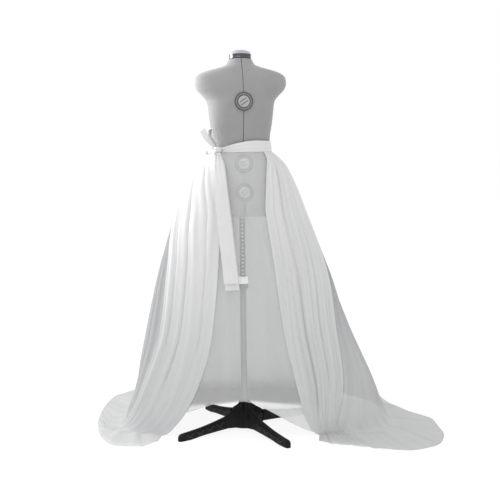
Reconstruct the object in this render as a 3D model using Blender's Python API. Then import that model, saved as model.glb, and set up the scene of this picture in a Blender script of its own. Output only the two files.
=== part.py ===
"""Tulle overskirt with a satin ribbon sash, on an adjustable dress form and its stand.

Metres, +Z up. Everything is laid out about the pole's axis, with the form facing -Y and its
own right-hand side at -X. A last step moves the whole so that the middle of its footprint
stands on the origin. Each cloth piece is a thin wall between two grids of points.
"""

import math

import bmesh
import bpy
import numpy as np
from mathutils import Matrix, Vector

# ---------------------------------------------------------------- driving dimensions
SEAM_GAP = 0.0003  # between two touching pieces
SEAM_TRIM = 0.7 * SEAM_GAP  # taken off each side of a seam
TULLE_WALL = 0.0015
RIBBON_WALL = 0.0016

# Skirt chart. One row for each level down the cloth: cloth length below the waist, height,
# reach to the left, right, front and back of the pole, squareness of the back, then the
# bearings from centre front, in degrees, of the over panels' inner and outer edges.
SKIRT_CHART = (
    (0.000, 1.190, 0.132, 0.128, 0.104, 0.107, 2.0, 66.0, 95.0, 45.0, 100.0),
    (0.050, 1.160, 0.164, 0.161, 0.114, 0.126, 2.0, 48.0, 93.0, 40.0, 98.0),
    (0.090, 1.135, 0.194, 0.184, 0.121, 0.144, 2.0, 38.0, 90.0, 34.0, 96.0),
    (0.175, 1.060, 0.236, 0.221, 0.130, 0.165, 2.0, 28.0, 87.0, 27.0, 92.0),
    (0.312, 0.930, 0.284, 0.272, 0.138, 0.215, 2.0, 18.5, 80.0, 21.5, 86.0),
    (0.532, 0.720, 0.350, 0.356, 0.146, 0.290, 2.1, 18.0, 63.0, 21.5, 76.0),
    (0.812, 0.450, 0.415, 0.449, 0.150, 0.380, 2.2, 19.5, 57.0, 22.0, 60.0),
    (1.067, 0.200, 0.467, 0.564, 0.147, 0.465, 2.4, 25.0, 68.0, 23.5, 48.0),
    (1.180, 0.090, 0.500, 0.602, 0.144, 0.510, 2.5, 30.5, 74.0, 25.0, 42.0),
    (1.240, 0.034, 0.528, 0.628, 0.141, 0.545, 2.6, 34.5, 78.0, 26.5, 39.0),
    (1.290, 0.006, 0.568, 0.662, 0.138, 0.585, 2.6, 35.5, 80.0, 27.0, 38.0),
    (1.330, 0.000, 0.605, 0.695, 0.137, 0.620, 2.6, 35.5, 80.0, 27.0, 38.0),
)
LANDING = SKIRT_CHART[-1][0]  # cloth length at which it lies flat on the floor
FLOOR_RUN = 0.150  # what counts as the length of the cloth beyond that
# Rows of points, by cloth length below the waist.
ROWS = (0, 0.05, 0.09, 0.17, 0.24, 0.32, 0.42, 0.54, 0.67, 0.81, 0.94, 1.07)
ROWS += (1.155, 1.24, 1.285, LANDING, LANDING + FLOOR_RUN)

# Columns are numbered from centre front, positive to the right, and each odd one is a crest.
INNER_COLUMN = 5  # inner edge of an over panel, and the seam under it
OUTER_COLUMN = 19  # outer edge of an over panel
SIDE_COLUMN = 25  # seam between a side panel and a back panel
BACK_COLUMN = 43  # centre back seam
FOLD_DEPTH = 0.30  # of the spacing of the columns
DEEPEST_FOLD = 0.012
FLAT_BELOW = 0.060  # the folds die out below this height

# Edge of the cloth on the floor: column, x, y.
RIGHT_HEM = (
    (5, 0.308, -0.190),
    (8, 0.350, -0.235),
    (12, 0.430, -0.258),
    (19, 0.530, -0.292),
    (22, 0.665, -0.315),
    (25, 0.790, -0.250),
    (27, 0.842, -0.100),
    (29, 0.838, 0.060),
    (31, 0.748, 0.205),
    (33, 0.690, 0.325),
    (36, 0.650, 0.500),
    (38.5, 0.500, 0.650),
    (41, 0.240, 0.745),
    (43, 0.000, 0.765),
)
LEFT_HEM = (
    (5, -0.358, -0.168),
    (7, -0.385, -0.210),
    (9, -0.425, -0.243),
    (12, -0.530, -0.225),
    (15, -0.605, -0.120),
    (19, -0.660, 0.100),
    (23, -0.672, 0.270),
    (27, -0.664, 0.430),
    (31, -0.600, 0.565),
    (36, -0.360, 0.720),
    (40, -0.160, 0.760),
    (43, 0.000, 0.765),
)
# The front panel ends clear of the floor. It has the same rows down to this one, and then
# two more that end at this reach down the cloth, by column.
FRONT_WHOLE_ROW = 11
FRONT_ROWS = FRONT_WHOLE_ROW + 3
FRONT_REACH = (
    (-5, 1.165),
    (-4, 1.148),
    (-3, 1.128),
    (-2, 1.118),
    (0, 1.114),
    (1, 1.125),
    (2, 1.155),
    (3, 1.188),
    (4, 1.228),
    (5, 1.275),
)
# Air between an over panel and the panel under it, by cloth length.
OVER_CLEARANCE = ((0, 0.0015), (0.25, 0.004), (1.0, 0.005), (1.24, 0.002), (LANDING, 0.0006))
OVER_HEM_INSET = 0.15  # of the last row's length

# Dress form: height, half width, depth in front of and behind the pole, squareness.
FORM_SECTIONS = (
    (0.922, 0.166, 0.104, 0.112, 2.3),
    (0.975, 0.171, 0.110, 0.122, 2.3),
    (1.050, 0.165, 0.110, 0.124, 2.3),
    (1.120, 0.147, 0.104, 0.112, 2.3),
    (1.170, 0.1265, 0.096, 0.098, 2.1),
    (1.210, 0.1195, 0.092, 0.092, 2.05),
    (1.260, 0.1220, 0.096, 0.093, 2.1),
    (1.310, 0.130, 0.106, 0.098, 2.2),
    (1.360, 0.136, 0.119, 0.104, 2.2),
    (1.400, 0.141, 0.125, 0.108, 2.2),
    (1.425, 0.158, 0.123, 0.109, 2.3),
    (1.450, 0.182, 0.117, 0.108, 2.5),
    (1.475, 0.191, 0.108, 0.105, 2.6),
    (1.500, 0.188, 0.096, 0.100, 2.6),
    (1.516, 0.172, 0.086, 0.094, 2.5),
    (1.530, 0.136, 0.077, 0.087, 2.3),
    (1.543, 0.086, 0.067, 0.077, 2.2),
    (1.555, 0.061, 0.057, 0.064, 2.0),
    (1.5765, 0.0475, 0.047, 0.050, 2.0),
)
FORM_COLUMNS = 32
FORM_TURN = math.radians(6.5)  # the form faces a little to the right
SLOT_WIDTH = 0.003
SLOT_DEPTH = 0.006
NOTCH_TOP = 0.985  # of the wider notch at the slot's foot
NOTCH_HALF_WIDTH = 0.013
NOTCH_BACK = -0.070
CUTTER_FRONT = -0.25
NECK_BAND = (1.5768, 1.596, 0.0455)  # foot, top, radius
NECK_CAP_TOP = 1.616
DIAL_HEIGHTS = (1.025, 1.143, 1.393)
DIAL_RADIUS = 0.037
DIAL_EYE_RADIUS = 0.025
DIAL_THICKNESS = 0.004
DIAL_EYE = ((DIAL_EYE_RADIUS, 0), (DIAL_EYE_RADIUS, 0.002), (0.018, 0.0035))  # radius, height

# Stand: foot and top height, foot and top radius.
LOWER_POLE = (0.1173, 0.6067, 0.0135, 0.0135)
POLE_CUP = (0.607, 0.6327, 0.0145, 0.0225)
POLE_COLLAR = (0.633, 0.663, 0.0225, 0.0225)
UPPER_POLE = (0.6633, 0.9217, 0.012, 0.012)
# Hub: height, reach between two legs, reach towards a leg.
HUB_SECTIONS = (
    (0.014, 0.066, 0.100),
    (0.050, 0.062, 0.100),
    (0.066, 0.048, 0.090),
    (0.084, 0.034, 0.062),
    (0.102, 0.026, 0.038),
    (0.117, 0.0235, 0.0235),
)
LEG_CHAMFER = 0.35  # of the leg's half width
LEG_REACH = 0.328
FIRST_LEG = math.radians(-56.4)  # bearing of the front right leg from +X
# Leg: distance from the axis, underside, top, half width.
LEG_SECTIONS = (
    (0.1003, 0.0150, 0.0600, 0.0180),
    (0.150, 0.0120, 0.0490, 0.0160),
    (0.220, 0.0070, 0.0370, 0.0145),
    (0.285, 0.0000, 0.0300, 0.0135),
    (0.312, 0.0000, 0.0275, 0.0130),
    (0.324, 0.0000, 0.0210, 0.0100),
    (LEG_REACH, 0.0000, 0.0115, 0.0055),
)

# Sash: a band round the waist, pinched where it is tied at the front left.
KNOT_BEARING = math.radians(-42.0)
BAND_FOOT = 1.1903
BAND_HEIGHT = 0.047
BAND_PINCHED = 0.014
BAND_LEAN = 0.004  # how far its top leans in to the form
BAND_OPENING = math.radians(75)  # bearing from the knot at which it has its whole height
KNOT_CENTRE = Vector((-0.0968, -0.0892, 1.2005))
KNOT_RADII = (0.0130, 0.0110, 0.0125)
TAIL_WIDTH = 0.058

COLOURS = {
    "form_fabric": ((0.33, 0.33, 0.33), 0.95, 0.0),
    "chrome": ((0.30, 0.31, 0.33), 0.18, 1.0),
    "cap_plastic": ((0.62, 0.66, 0.70), 0.35, 0.0),
    "dial_plastic": ((0.12, 0.12, 0.12), 0.5, 0.0),
    "dial_eye": ((0.62, 0.62, 0.62), 0.4, 0.0),
    "pole_steel": ((0.25, 0.26, 0.26), 0.35, 1.0),
    "collar_plastic": ((0.80, 0.80, 0.80), 0.45, 0.0),
    "cup_plastic": ((0.28, 0.28, 0.28), 0.5, 0.0),
    "base_plastic": ((0.012, 0.012, 0.013), 0.55, 0.0),
    "satin": ((0.85, 0.85, 0.85), 0.3, 0.0),
    "under_tulle": ((0.55, 0.56, 0.57), 0.85, 0.0),
    "over_tulle": ((0.80, 0.81, 0.82), 0.85, 0.0),
}


# ---------------------------------------------------------------- helpers
def clear_scene():
    for item in list(bpy.data.objects):
        bpy.data.objects.remove(item, do_unlink=True)


def finish_material(finish):
    """The shared material of this finish."""
    material = bpy.data.materials.get(finish)
    if material is None:
        colour, roughness, metallic = COLOURS[finish]
        material = bpy.data.materials.new(finish)
        material.use_nodes = True
        shader = material.node_tree.nodes["Principled BSDF"]
        shader.inputs["Base Color"].default_value = (*colour, 1.0)
        shader.inputs["Roughness"].default_value = roughness
        shader.inputs["Metallic"].default_value = metallic
    return material


def add_object(name, shape, finish, smooth=True):
    """Turns a bmesh into a named object of this finish."""
    mesh = bpy.data.meshes.new(name)
    shape.to_mesh(mesh)
    shape.free()
    mesh.materials.append(finish_material(finish))
    if smooth:
        mesh.shade_smooth()
        mesh.set_sharp_from_angle(angle=math.radians(40))
    made = bpy.data.objects.new(name, mesh)
    bpy.context.scene.collection.objects.link(made)
    return made


def along(stations, values, at):
    """Smooth reading of a chart that never swings past its own values (monotone cubic)."""
    stations, values = np.asarray(stations, float), np.asarray(values, float)
    step = np.diff(stations)
    slope = np.diff(values) / step
    tangent = np.zeros(len(values))
    rising = slope[:-1] * slope[1:] > 0
    before, after = 2 * step[1:] + step[:-1], step[1:] + 2 * step[:-1]
    safe = np.where(rising, slope[:-1], 1.0), np.where(rising, slope[1:], 1.0)
    tangent[1:-1] = np.where(rising, (before + after) / (before / safe[0] + after / safe[1]), 0.0)
    tangent[0], tangent[-1] = slope[0], slope[-1]
    at = np.clip(at, stations[0], stations[-1])
    k = np.clip(np.searchsorted(stations, at, side="right") - 1, 0, len(step) - 1)
    t = (at - stations[k]) / step[k]
    return (
        (1 + 2 * t) * (1 - t) ** 2 * values[k]
        + t * (1 - t) ** 2 * step[k] * tangent[k]
        + t**2 * (3 - 2 * t) * values[k + 1]
        + t**2 * (t - 1) * step[k] * tangent[k + 1]
    )


def oval(bearing, left, right, front, back, squareness):
    """Plan x and y at a bearing from centre front, with its own reach to each side."""
    across, ahead = np.sin(bearing), np.cos(bearing)
    power = np.where(ahead > 0, 1.0, 2.0 / squareness)
    x = np.sign(across) * np.abs(across) ** power * np.where(across > 0, right, left)
    y = -np.sign(ahead) * np.abs(ahead) ** power * np.where(ahead > 0, front, back)
    return x, y


def sheet(name, inside, outside, finish):
    """A cloth wall between two grids of points, rows from top to bottom and columns from left
    to right as seen from outside."""
    rows, columns = inside.shape[:2]
    shape = bmesh.new()
    bmesh.ops.create_grid(shape, x_segments=columns - 1, y_segments=rows - 1, size=1.0)
    bmesh.ops.triangulate(shape, faces=shape.faces[:], quad_method="FIXED")
    thickened = bmesh.ops.extrude_face_region(shape, geom=shape.faces[:], use_keep_orig=True)
    lifted = [item for item in thickened["geom"] if isinstance(item, bmesh.types.BMVert)]
    bmesh.ops.translate(shape, vec=(0, 0, 1), verts=lifted)
    # Rims that face each other across a seam are split along the same diagonal.
    for rim in [face for face in shape.faces if len(face.verts) == 4]:
        corners = sorted(rim.verts, key=lambda v: (round(v.co.z), round(v.co.y, 4), round(v.co.x, 4)))
        bmesh.utils.face_split(rim, corners[0], corners[3])
    for vertex in shape.verts:
        column = round((vertex.co.x + 1) / 2 * (columns - 1))
        row = round((1 - vertex.co.y) / 2 * (rows - 1))
        vertex.co = (outside if vertex.co.z > 0.5 else inside)[row, column]
    bmesh.ops.recalc_face_normals(shape, faces=shape.faces[:])
    if shape.calc_volume(signed=True) < 0:
        bmesh.ops.reverse_faces(shape, faces=shape.faces[:])
    return add_object(name, shape, finish)


def loft(name, rings, finish, smooth=True):
    """A closed solid through rings of points, each ring counterclockwise seen from its top."""
    shape = bmesh.new()
    loops = []
    for ring in rings:
        corners = [shape.verts.new(point) for point in ring]
        loops.append([shape.edges.new((a, b)) for a, b in zip(corners, corners[1:] + corners[:1])])
    for lower, upper in zip(loops, loops[1:]):
        bmesh.ops.bridge_loops(shape, edges=lower + upper)
    bmesh.ops.contextual_create(shape, geom=loops[0])
    bmesh.ops.contextual_create(shape, geom=loops[-1])
    bmesh.ops.recalc_face_normals(shape, faces=shape.faces[:])
    return add_object(name, shape, finish, smooth)


def turned(name, profile, finish, sides=24):
    """A solid turned about the pole's axis from (radius, height) pairs, foot to top."""
    angles = [2 * math.pi * k / sides for k in range(sides)]
    rings = [[(r * math.cos(a), r * math.sin(a), z) for a in angles] for r, z in profile]
    return loft(name, rings, finish)


# ---------------------------------------------------------------- skirt
def bearings(column, row_values):
    """Bearing of a column at a level, from the chart's two edge bearings on its own side."""
    left_in, left_out, right_in, right_out = row_values
    marks = [0, INNER_COLUMN, OUTER_COLUMN, BACK_COLUMN]
    rightward = np.interp(abs(column), marks, [0, right_in, right_out, 180])
    leftward = np.interp(abs(column), marks, [0, left_in, left_out, 180])
    return math.radians(rightward) if column > 0 else -math.radians(leftward)


def hanging_point(column, length, with_fold=True):
    """A point of the hanging cloth, this far below the waist along it."""
    stations = [row[0] for row in SKIRT_CHART]
    level = [along(stations, [row[k] for row in SKIRT_CHART], length) for k in range(1, 11)]
    x, y = oval(bearings(column, level[6:]), *level[1:6])
    point = np.array([float(x), float(y), max(float(level[0]), 0.0)])
    if not with_fold:
        return point
    low = hanging_point(max(column - 0.5, -BACK_COLUMN), length, False)
    high = hanging_point(min(column + 0.5, BACK_COLUMN), length, False)
    run = high - low
    spacing = math.hypot(run[0], run[1])
    outward = np.array([run[1], -run[0], 0.0]) / spacing
    share = np.interp(abs(column), [0, INNER_COLUMN - 1, INNER_COLUMN + 2], [0.25, 0.4, 1.0])
    fading = min(point[2] / FLAT_BELOW, 1.0)
    depth = min(FOLD_DEPTH * spacing, DEEPEST_FOLD) * share * fading**2 * (3 - 2 * fading)
    return point - math.cos(math.pi * column) * depth * outward


def hem_point(column):
    """Where this column's cloth ends on the floor."""
    outline = RIGHT_HEM if column > 0 else LEFT_HEM
    marks = [c for c, _, _ in outline]
    return np.array([float(along(marks, [p[k] for p in outline], abs(column))) for k in (1, 2)] + [0.0])


def cloth_point(column, length):
    """A point of the skirt at a column, this length of cloth below the waist."""
    whole, cut = ROWS[FRONT_WHOLE_ROW], ROWS[FRONT_ROWS - 1]
    if abs(column) < INNER_COLUMN and length > whole:
        reach = float(np.interp(column, *zip(*FRONT_REACH)))
        length = min(whole + (length - whole) * (reach - whole) / (cut - whole), reach)
    if length <= LANDING:
        return hanging_point(column, length)
    share = (length - LANDING) / FLOOR_RUN
    return (1 - share) * hanging_point(column, LANDING) + share * hem_point(column)


def outward_normals(points):
    """Unit normals of a grid of points, on the outside of the cloth."""
    down, across = np.gradient(points, axis=0), np.gradient(points, axis=1)
    normals = np.cross(down, across)
    return normals / np.maximum(np.linalg.norm(normals, axis=2, keepdims=True), 1e-12)


def trimmed(points):
    """The same grid with its side edges drawn in from the seams."""
    points = points.copy()
    for edge, inner in ((0, 1), (-1, -2)):
        along_edge = np.gradient(points[:, edge], axis=0)
        along_edge /= np.linalg.norm(along_edge, axis=1, keepdims=True)
        run = points[:, inner] - points[:, edge]
        run -= (run * along_edge).sum(axis=1, keepdims=True) * along_edge
        points[:, edge] += run / np.linalg.norm(run, axis=1, keepdims=True) * SEAM_TRIM
    return points


def build_skirt():
    columns = np.arange(-BACK_COLUMN, BACK_COLUMN + 1)
    grid = np.array([[cloth_point(c, length) for c in columns] for length in ROWS])
    normals = outward_normals(grid)
    normals[0, :, 2] = 0.0  # the waist edge stays level under the sash
    normals[-2:, abs(columns) >= INNER_COLUMN] = (0.0, 0.0, 1.0)
    outer = grid + normals * TULLE_WALL
    for name, first, last, rows in (
        ("back_panel_left", -BACK_COLUMN, -SIDE_COLUMN, len(ROWS)),
        ("side_panel_left", -SIDE_COLUMN, -INNER_COLUMN, len(ROWS)),
        ("front_sheer_panel", -INNER_COLUMN, INNER_COLUMN, FRONT_ROWS),
        ("side_panel_right", INNER_COLUMN, SIDE_COLUMN, len(ROWS)),
        ("back_panel_right", SIDE_COLUMN, BACK_COLUMN, len(ROWS)),
    ):
        part = slice(rows), slice(first + BACK_COLUMN, last + BACK_COLUMN + 1)
        sheet(name, trimmed(grid[part]), trimmed(outer[part]), "under_tulle")

    clearance = np.interp(ROWS, *zip(*OVER_CLEARANCE))[:, None, None]
    lifted = outer + normals * clearance
    lifted[-1] = (1 - OVER_HEM_INSET) * lifted[-1] + OVER_HEM_INSET * lifted[-2]
    for name, first, last in (
        ("over_panel_left", -OUTER_COLUMN, -INNER_COLUMN),
        ("over_panel_right", INNER_COLUMN, OUTER_COLUMN),
    ):
        part = slice(first + BACK_COLUMN, last + BACK_COLUMN + 1)
        inside = lifted[:, part]
        sheet(name, inside, inside + normals[:, part] * TULLE_WALL, "over_tulle")


# ---------------------------------------------------------------- sash
def band_point(bearing, height, outward):
    """A point of the waistband, this far outside the skirt's waist line."""
    _, _, left, right, front, back, squareness = SKIRT_CHART[0][:7]
    x, y = oval(bearing, left, right, front, back, squareness)
    growth = 1 + outward / math.hypot(x, y)
    return (float(x) * growth, float(y) * growth, height)


def build_band():
    sides = 48
    rings = [[], [], [], []]
    for k in range(sides):
        bearing = KNOT_BEARING + 2 * math.pi * k / sides
        bearing = math.atan2(math.sin(bearing), math.cos(bearing))
        away = abs(math.atan2(math.sin(bearing - KNOT_BEARING), math.cos(bearing - KNOT_BEARING)))
        opened = min(away / BAND_OPENING, 1.0)
        top = BAND_FOOT + BAND_PINCHED + (BAND_HEIGHT - BAND_PINCHED) * math.sin(opened * math.pi / 2)
        lean = BAND_LEAN * opened
        rings[0].append(band_point(bearing, BAND_FOOT, RIBBON_WALL))
        rings[1].append(band_point(bearing, top, RIBBON_WALL - lean))
        rings[2].append(band_point(bearing, top, -lean))
        rings[3].append(band_point(bearing, BAND_FOOT, 0.0))
    shape = bmesh.new()
    corners = [[shape.verts.new(point) for point in ring] for ring in rings]
    for ring, following in zip(corners, corners[1:] + corners[:1]):
        for k in range(sides):
            after = (k + 1) % sides
            shape.faces.new((ring[k], ring[after], following[after], following[k]))
    bmesh.ops.recalc_face_normals(shape, faces=shape.faces[:])
    add_object("sash_band", shape, "satin")


def build_knot():
    shape = bmesh.new()
    bmesh.ops.create_uvsphere(shape, u_segments=14, v_segments=8, radius=1.0)
    bmesh.ops.scale(shape, vec=KNOT_RADII, verts=shape.verts[:])
    bmesh.ops.translate(shape, vec=KNOT_CENTRE, verts=shape.verts[:])
    add_object("sash_knot", shape, "satin")


def ribbon(name, path, spread, widths, rows, columns=2, cup=0.0):
    """A strip of ribbon along a smooth path. Spread is the direction of its width."""
    marks = np.linspace(0, 1, len(path))
    reads = np.linspace(0, 1, rows)
    line = np.stack([along(marks, [p[k] for p in path], reads) for k in range(3)], axis=1)
    spread = np.array(Vector(spread).normalized())
    half = along(np.linspace(0, 1, len(widths)), widths, reads) / 2
    grid = np.zeros((rows, columns + 1, 3))
    for j in range(columns + 1):
        side = 2 * j / columns - 1
        grid[:, j] = line + spread * (half * side)[:, None] + np.array((0, cup * (1 - side**2), 0))
    half_wall = outward_normals(grid) * RIBBON_WALL / 2
    sheet(name, grid - half_wall, grid + half_wall, "satin")


def build_bow_and_tails():
    width = TAIL_WIDTH
    # An upright loop, seen almost edge on, and a smaller one that droops to the left.
    ribbon(
        "bow_loop_upper",
        (
            (-0.1010, -0.0960, 1.2140),
            (-0.1140, -0.0980, 1.2340),
            (-0.1270, -0.0980, 1.2580),
            (-0.1250, -0.0960, 1.2820),
            (-0.1130, -0.0950, 1.2860),
            (-0.1040, -0.0950, 1.2660),
            (-0.0980, -0.0955, 1.2380),
            (-0.0950, -0.0960, 1.2140),
        ),
        (0.25, 1.0, 0.15),
        (0.020, 0.032, 0.036, 0.032, 0.020),
        16,
    )
    ribbon(
        "bow_loop_side",
        (
            (-0.1090, -0.1000, 1.2110),
            (-0.1270, -0.1040, 1.2330),
            (-0.1460, -0.1060, 1.2600),
            (-0.1580, -0.1060, 1.2820),
        ),
        (0.45, 1.0, 0.20),
        (0.014, 0.028, 0.030),
        8,
    )
    ribbon(
        "bow_loop_lower",
        (
            (-0.1105, -0.0950, 1.2030),
            (-0.1230, -0.0990, 1.2060),
            (-0.1370, -0.1010, 1.2000),
            (-0.1410, -0.1010, 1.1900),
            (-0.1340, -0.1010, 1.1830),
            (-0.1210, -0.1000, 1.1860),
            (-0.1100, -0.0970, 1.1950),
        ),
        (0.10, 1.0, 0.25),
        (0.014, 0.022, 0.026, 0.022, 0.014),
        14,
    )
    ribbon(
        "sash_tail_front",
        (
            (-0.0960, -0.1120, 1.1850),
            (-0.0910, -0.1390, 1.1300),
            (-0.0850, -0.1600, 1.0500),
            (-0.0730, -0.1730, 0.9360),
            (-0.0590, -0.1790, 0.8000),
            (-0.0450, -0.1800, 0.6550),
        ),
        (1.0, -0.05, 0.03),
        (0.024, 0.048, 0.054, 0.056, width, 0.060),
        12,
        4,
        -0.003,
    )
    ribbon(
        "sash_tail_rear",
        (
            (-0.0930, -0.1060, 1.1850),
            (-0.0870, -0.1300, 1.1300),
            (-0.0810, -0.1510, 1.0500),
            (-0.0690, -0.1640, 0.9360),
            (-0.0550, -0.1690, 0.8000),
            (-0.0410, -0.1700, 0.6280),
        ),
        (1.0, -0.05, 0.06),
        (0.020, 0.044, 0.050, 0.053, 0.056, width),
        12,
        4,
        -0.003,
    )


# ---------------------------------------------------------------- dress form
def form_value(k, height):
    return float(along([row[0] for row in FORM_SECTIONS], [row[k] for row in FORM_SECTIONS], height))


def slot_cutter(name, outline, half_width):
    """A plate across X with this outline in Y and Z, as (y, z, share of the half width)."""
    shape = bmesh.new()
    sides = []
    for sign in (-1, 1):
        corners = [shape.verts.new((sign * half_width * share, y, z)) for y, z, share in outline]
        sides.append(corners)
        shape.faces.new(corners if sign < 0 else corners[::-1])
    count = len(outline)
    for k in range(count):
        after = (k + 1) % count
        shape.faces.new((sides[0][k], sides[0][after], sides[1][after], sides[1][k]))
    bmesh.ops.recalc_face_normals(shape, faces=shape.faces[:])
    made = add_object(name, shape, "dial_plastic", smooth=False)
    made.hide_render = True
    made.display_type = "WIRE"
    return made


def build_form():
    rings = []
    for height, half, front, back, squareness in FORM_SECTIONS:
        ring = []
        for k in range(FORM_COLUMNS):
            angle = 2 * math.pi * (k + 0.5) / FORM_COLUMNS
            across, ahead = math.sin(angle), math.cos(angle)
            power = 2 / squareness
            x = half * math.copysign(abs(across) ** power, across)
            y = -math.copysign(abs(ahead) ** power, ahead) * (front if ahead > 0 else back)
            ring.append((x, y, height))
        rings.append(ring)
    form = loft("form_torso", rings, "form_fabric")

    # Gap down the centre front, and the wider notch at its foot where the pole goes in.
    clear = 0.05  # how far the cutters run past the form
    foot, top = FORM_SECTIONS[0][0], FORM_SECTIONS[-1][0]
    front_line = [(-form_value(2, z) + SLOT_DEPTH, z) for z in np.linspace(foot + 0.001, top - 0.001, 20)]
    outline = [(CUTTER_FRONT, foot - clear, 1), (front_line[0][0], foot - clear, 1)]
    outline += [(y, z, 1) for y, z in front_line]
    outline += [(front_line[-1][0], top + clear, 1), (CUTTER_FRONT, top + clear, 1)]
    slot = slot_cutter("slot_cutter", outline, SLOT_WIDTH / 2)
    notch = slot_cutter(
        "notch_cutter",
        (
            (CUTTER_FRONT, foot - clear, 1.0),
            (NOTCH_BACK, foot - clear, 1.0),
            (NOTCH_BACK, NOTCH_TOP, 0.1),
            (CUTTER_FRONT, NOTCH_TOP, 0.1),
        ),
        NOTCH_HALF_WIDTH,
    )
    for cutter in (slot, notch):
        cut = form.modifiers.new(cutter.name, "BOOLEAN")
        cut.operation = "DIFFERENCE"
        cut.object = cutter
    turn = Matrix.Rotation(FORM_TURN, 4, "Z")
    for item in (form, slot, notch):
        item.matrix_world = turn


def build_neck():
    foot, top, radius = NECK_BAND
    turned("neck_band", ((radius + 0.001, foot), (radius, top)), "chrome", 32)
    rise = NECK_CAP_TOP - top
    cap = [(radius + 0.0005, top + SEAM_GAP)]
    cap += [
        (radius * math.cos(a), top + SEAM_GAP + rise * math.sin(a))
        for a in (math.radians(d) for d in (20, 45, 68, 84))
    ]
    turned("neck_cap", cap, "cap_plastic", 32)


def build_dials():
    """Each dial is a dark rim with a pale eye in it, flat against the front of the form."""
    turn = Matrix.Rotation(FORM_TURN, 4, "Z")
    for number, height in enumerate(DIAL_HEIGHTS, 1):
        steps = np.linspace(-DIAL_RADIUS, DIAL_RADIUS, 9)
        fronts = np.array([form_value(2, height + step) for step in steps])
        slope = (fronts[0] - fronts[-1]) / (2 * DIAL_RADIUS)
        reach = float((fronts + slope * steps).max()) + SEAM_GAP
        lean = Matrix.Rotation(math.pi / 2 - math.atan(slope), 4, "X")
        place = turn @ Matrix.Translation((0, -reach, height)) @ lean
        rim = [(DIAL_EYE_RADIUS + 0.0005, 0), (DIAL_RADIUS, 0), (DIAL_RADIUS - 0.002, DIAL_THICKNESS)]
        rim.append((DIAL_EYE_RADIUS + 0.0005, DIAL_THICKNESS - 0.001))
        sides = 28
        shape = bmesh.new()
        rings = []
        for r, z in rim:
            turns = (2 * math.pi * k / sides for k in range(sides))
            rings.append([shape.verts.new((r * math.cos(a), r * math.sin(a), z)) for a in turns])
        for ring, following in zip(rings, rings[1:] + rings[:1]):
            for k in range(sides):
                after = (k + 1) % sides
                shape.faces.new((ring[k], ring[after], following[after], following[k]))
        bmesh.ops.recalc_face_normals(shape, faces=shape.faces[:])
        add_object(f"dial_rim_{number}", shape, "dial_plastic").matrix_world = place
        turned(f"dial_eye_{number}", DIAL_EYE, "dial_eye", sides).matrix_world = place


# ---------------------------------------------------------------- stand
def build_pole():
    for name, (foot, top, foot_radius, top_radius), finish in (
        ("pole_lower", LOWER_POLE, "pole_steel"),
        ("pole_cup", POLE_CUP, "cup_plastic"),
        ("pole_collar", POLE_COLLAR, "collar_plastic"),
        ("pole_upper", UPPER_POLE, "pole_steel"),
    ):
        turned(name, ((foot_radius, foot), (top_radius, top)), finish, 20)


def build_base():
    sides = 32
    rings = []
    for z, waist, lobe in HUB_SECTIONS:
        ring = []
        for k in range(sides):
            turned_by = 2 * math.pi * k / sides
            on_leg = max(math.cos(4 * turned_by), 0.0) ** 1.5
            radius = waist + (lobe - waist) * on_leg
            angle = FIRST_LEG + turned_by
            ring.append((radius * math.cos(angle), radius * math.sin(angle), z))
        rings.append(ring)
    loft("base_hub", rings, "base_plastic")
    for number, name in enumerate(("front_right", "back_right", "back_left", "front_left")):
        turn = Matrix.Rotation(FIRST_LEG + number * math.pi / 2, 4, "Z")
        sections = []
        for reach, low, high, half in LEG_SECTIONS:
            chamfer = half * LEG_CHAMFER
            sections.append(
                [
                    turn @ Vector((reach, y, z))
                    for y, z in (
                        (-half, low),
                        (half, low),
                        (half, high - chamfer),
                        (half - chamfer, high),
                        (chamfer - half, high),
                        (-half, high - chamfer),
                    )
                ]
            )
        loft(f"base_leg_{name}", sections, "base_plastic")


# ---------------------------------------------------------------- assembly
def centre_on_footprint():
    """Hangs every piece on one empty that puts the middle of the footprint at the origin."""
    bpy.context.view_layer.update()
    graph = bpy.context.evaluated_depsgraph_get()
    shown = [item for item in bpy.data.objects if item.type == "MESH"]
    corners = []
    for item in shown:
        if not item.hide_render:
            evaluated = item.evaluated_get(graph)
            corners += [evaluated.matrix_world @ v.co for v in evaluated.to_mesh().vertices]
            evaluated.to_mesh_clear()
    corners = np.array(corners)
    low, high = corners.min(axis=0), corners.max(axis=0)
    stand = bpy.data.objects.new("overskirt_on_form", None)
    bpy.context.scene.collection.objects.link(stand)
    for item in shown:
        item.parent = stand
    stand.location = (-(low[0] + high[0]) / 2, -(low[1] + high[1]) / 2, -low[2])


def main():
    clear_scene()
    build_form()
    build_neck()
    build_dials()
    build_pole()
    build_base()
    build_skirt()
    build_band()
    build_knot()
    build_bow_and_tails()
    centre_on_footprint()


main()
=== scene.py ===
"""Tulle overskirt with a satin ribbon sash on an adjustable dress form: the finished look."""

import math

import bmesh
import bpy
import numpy as np
from mathutils import Matrix, Vector


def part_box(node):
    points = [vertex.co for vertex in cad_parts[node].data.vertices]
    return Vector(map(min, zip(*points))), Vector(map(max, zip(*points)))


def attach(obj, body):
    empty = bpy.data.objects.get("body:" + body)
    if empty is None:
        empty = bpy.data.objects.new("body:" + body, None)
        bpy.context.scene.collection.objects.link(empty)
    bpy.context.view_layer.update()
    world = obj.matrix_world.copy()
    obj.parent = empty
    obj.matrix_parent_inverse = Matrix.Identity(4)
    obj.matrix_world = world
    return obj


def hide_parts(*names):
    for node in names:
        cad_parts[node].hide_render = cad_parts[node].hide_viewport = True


bl_info = {
    "name": "Tulle Overskirt",
    "version": (1, 0, 0),
    "blender": (4, 5, 0),
    "location": "3D View > Sidebar > Overskirt",
    "description": "Gathers a tulle overskirt, its ribbon sash and the dress form under it",
    "category": "Add Mesh",
}

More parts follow.
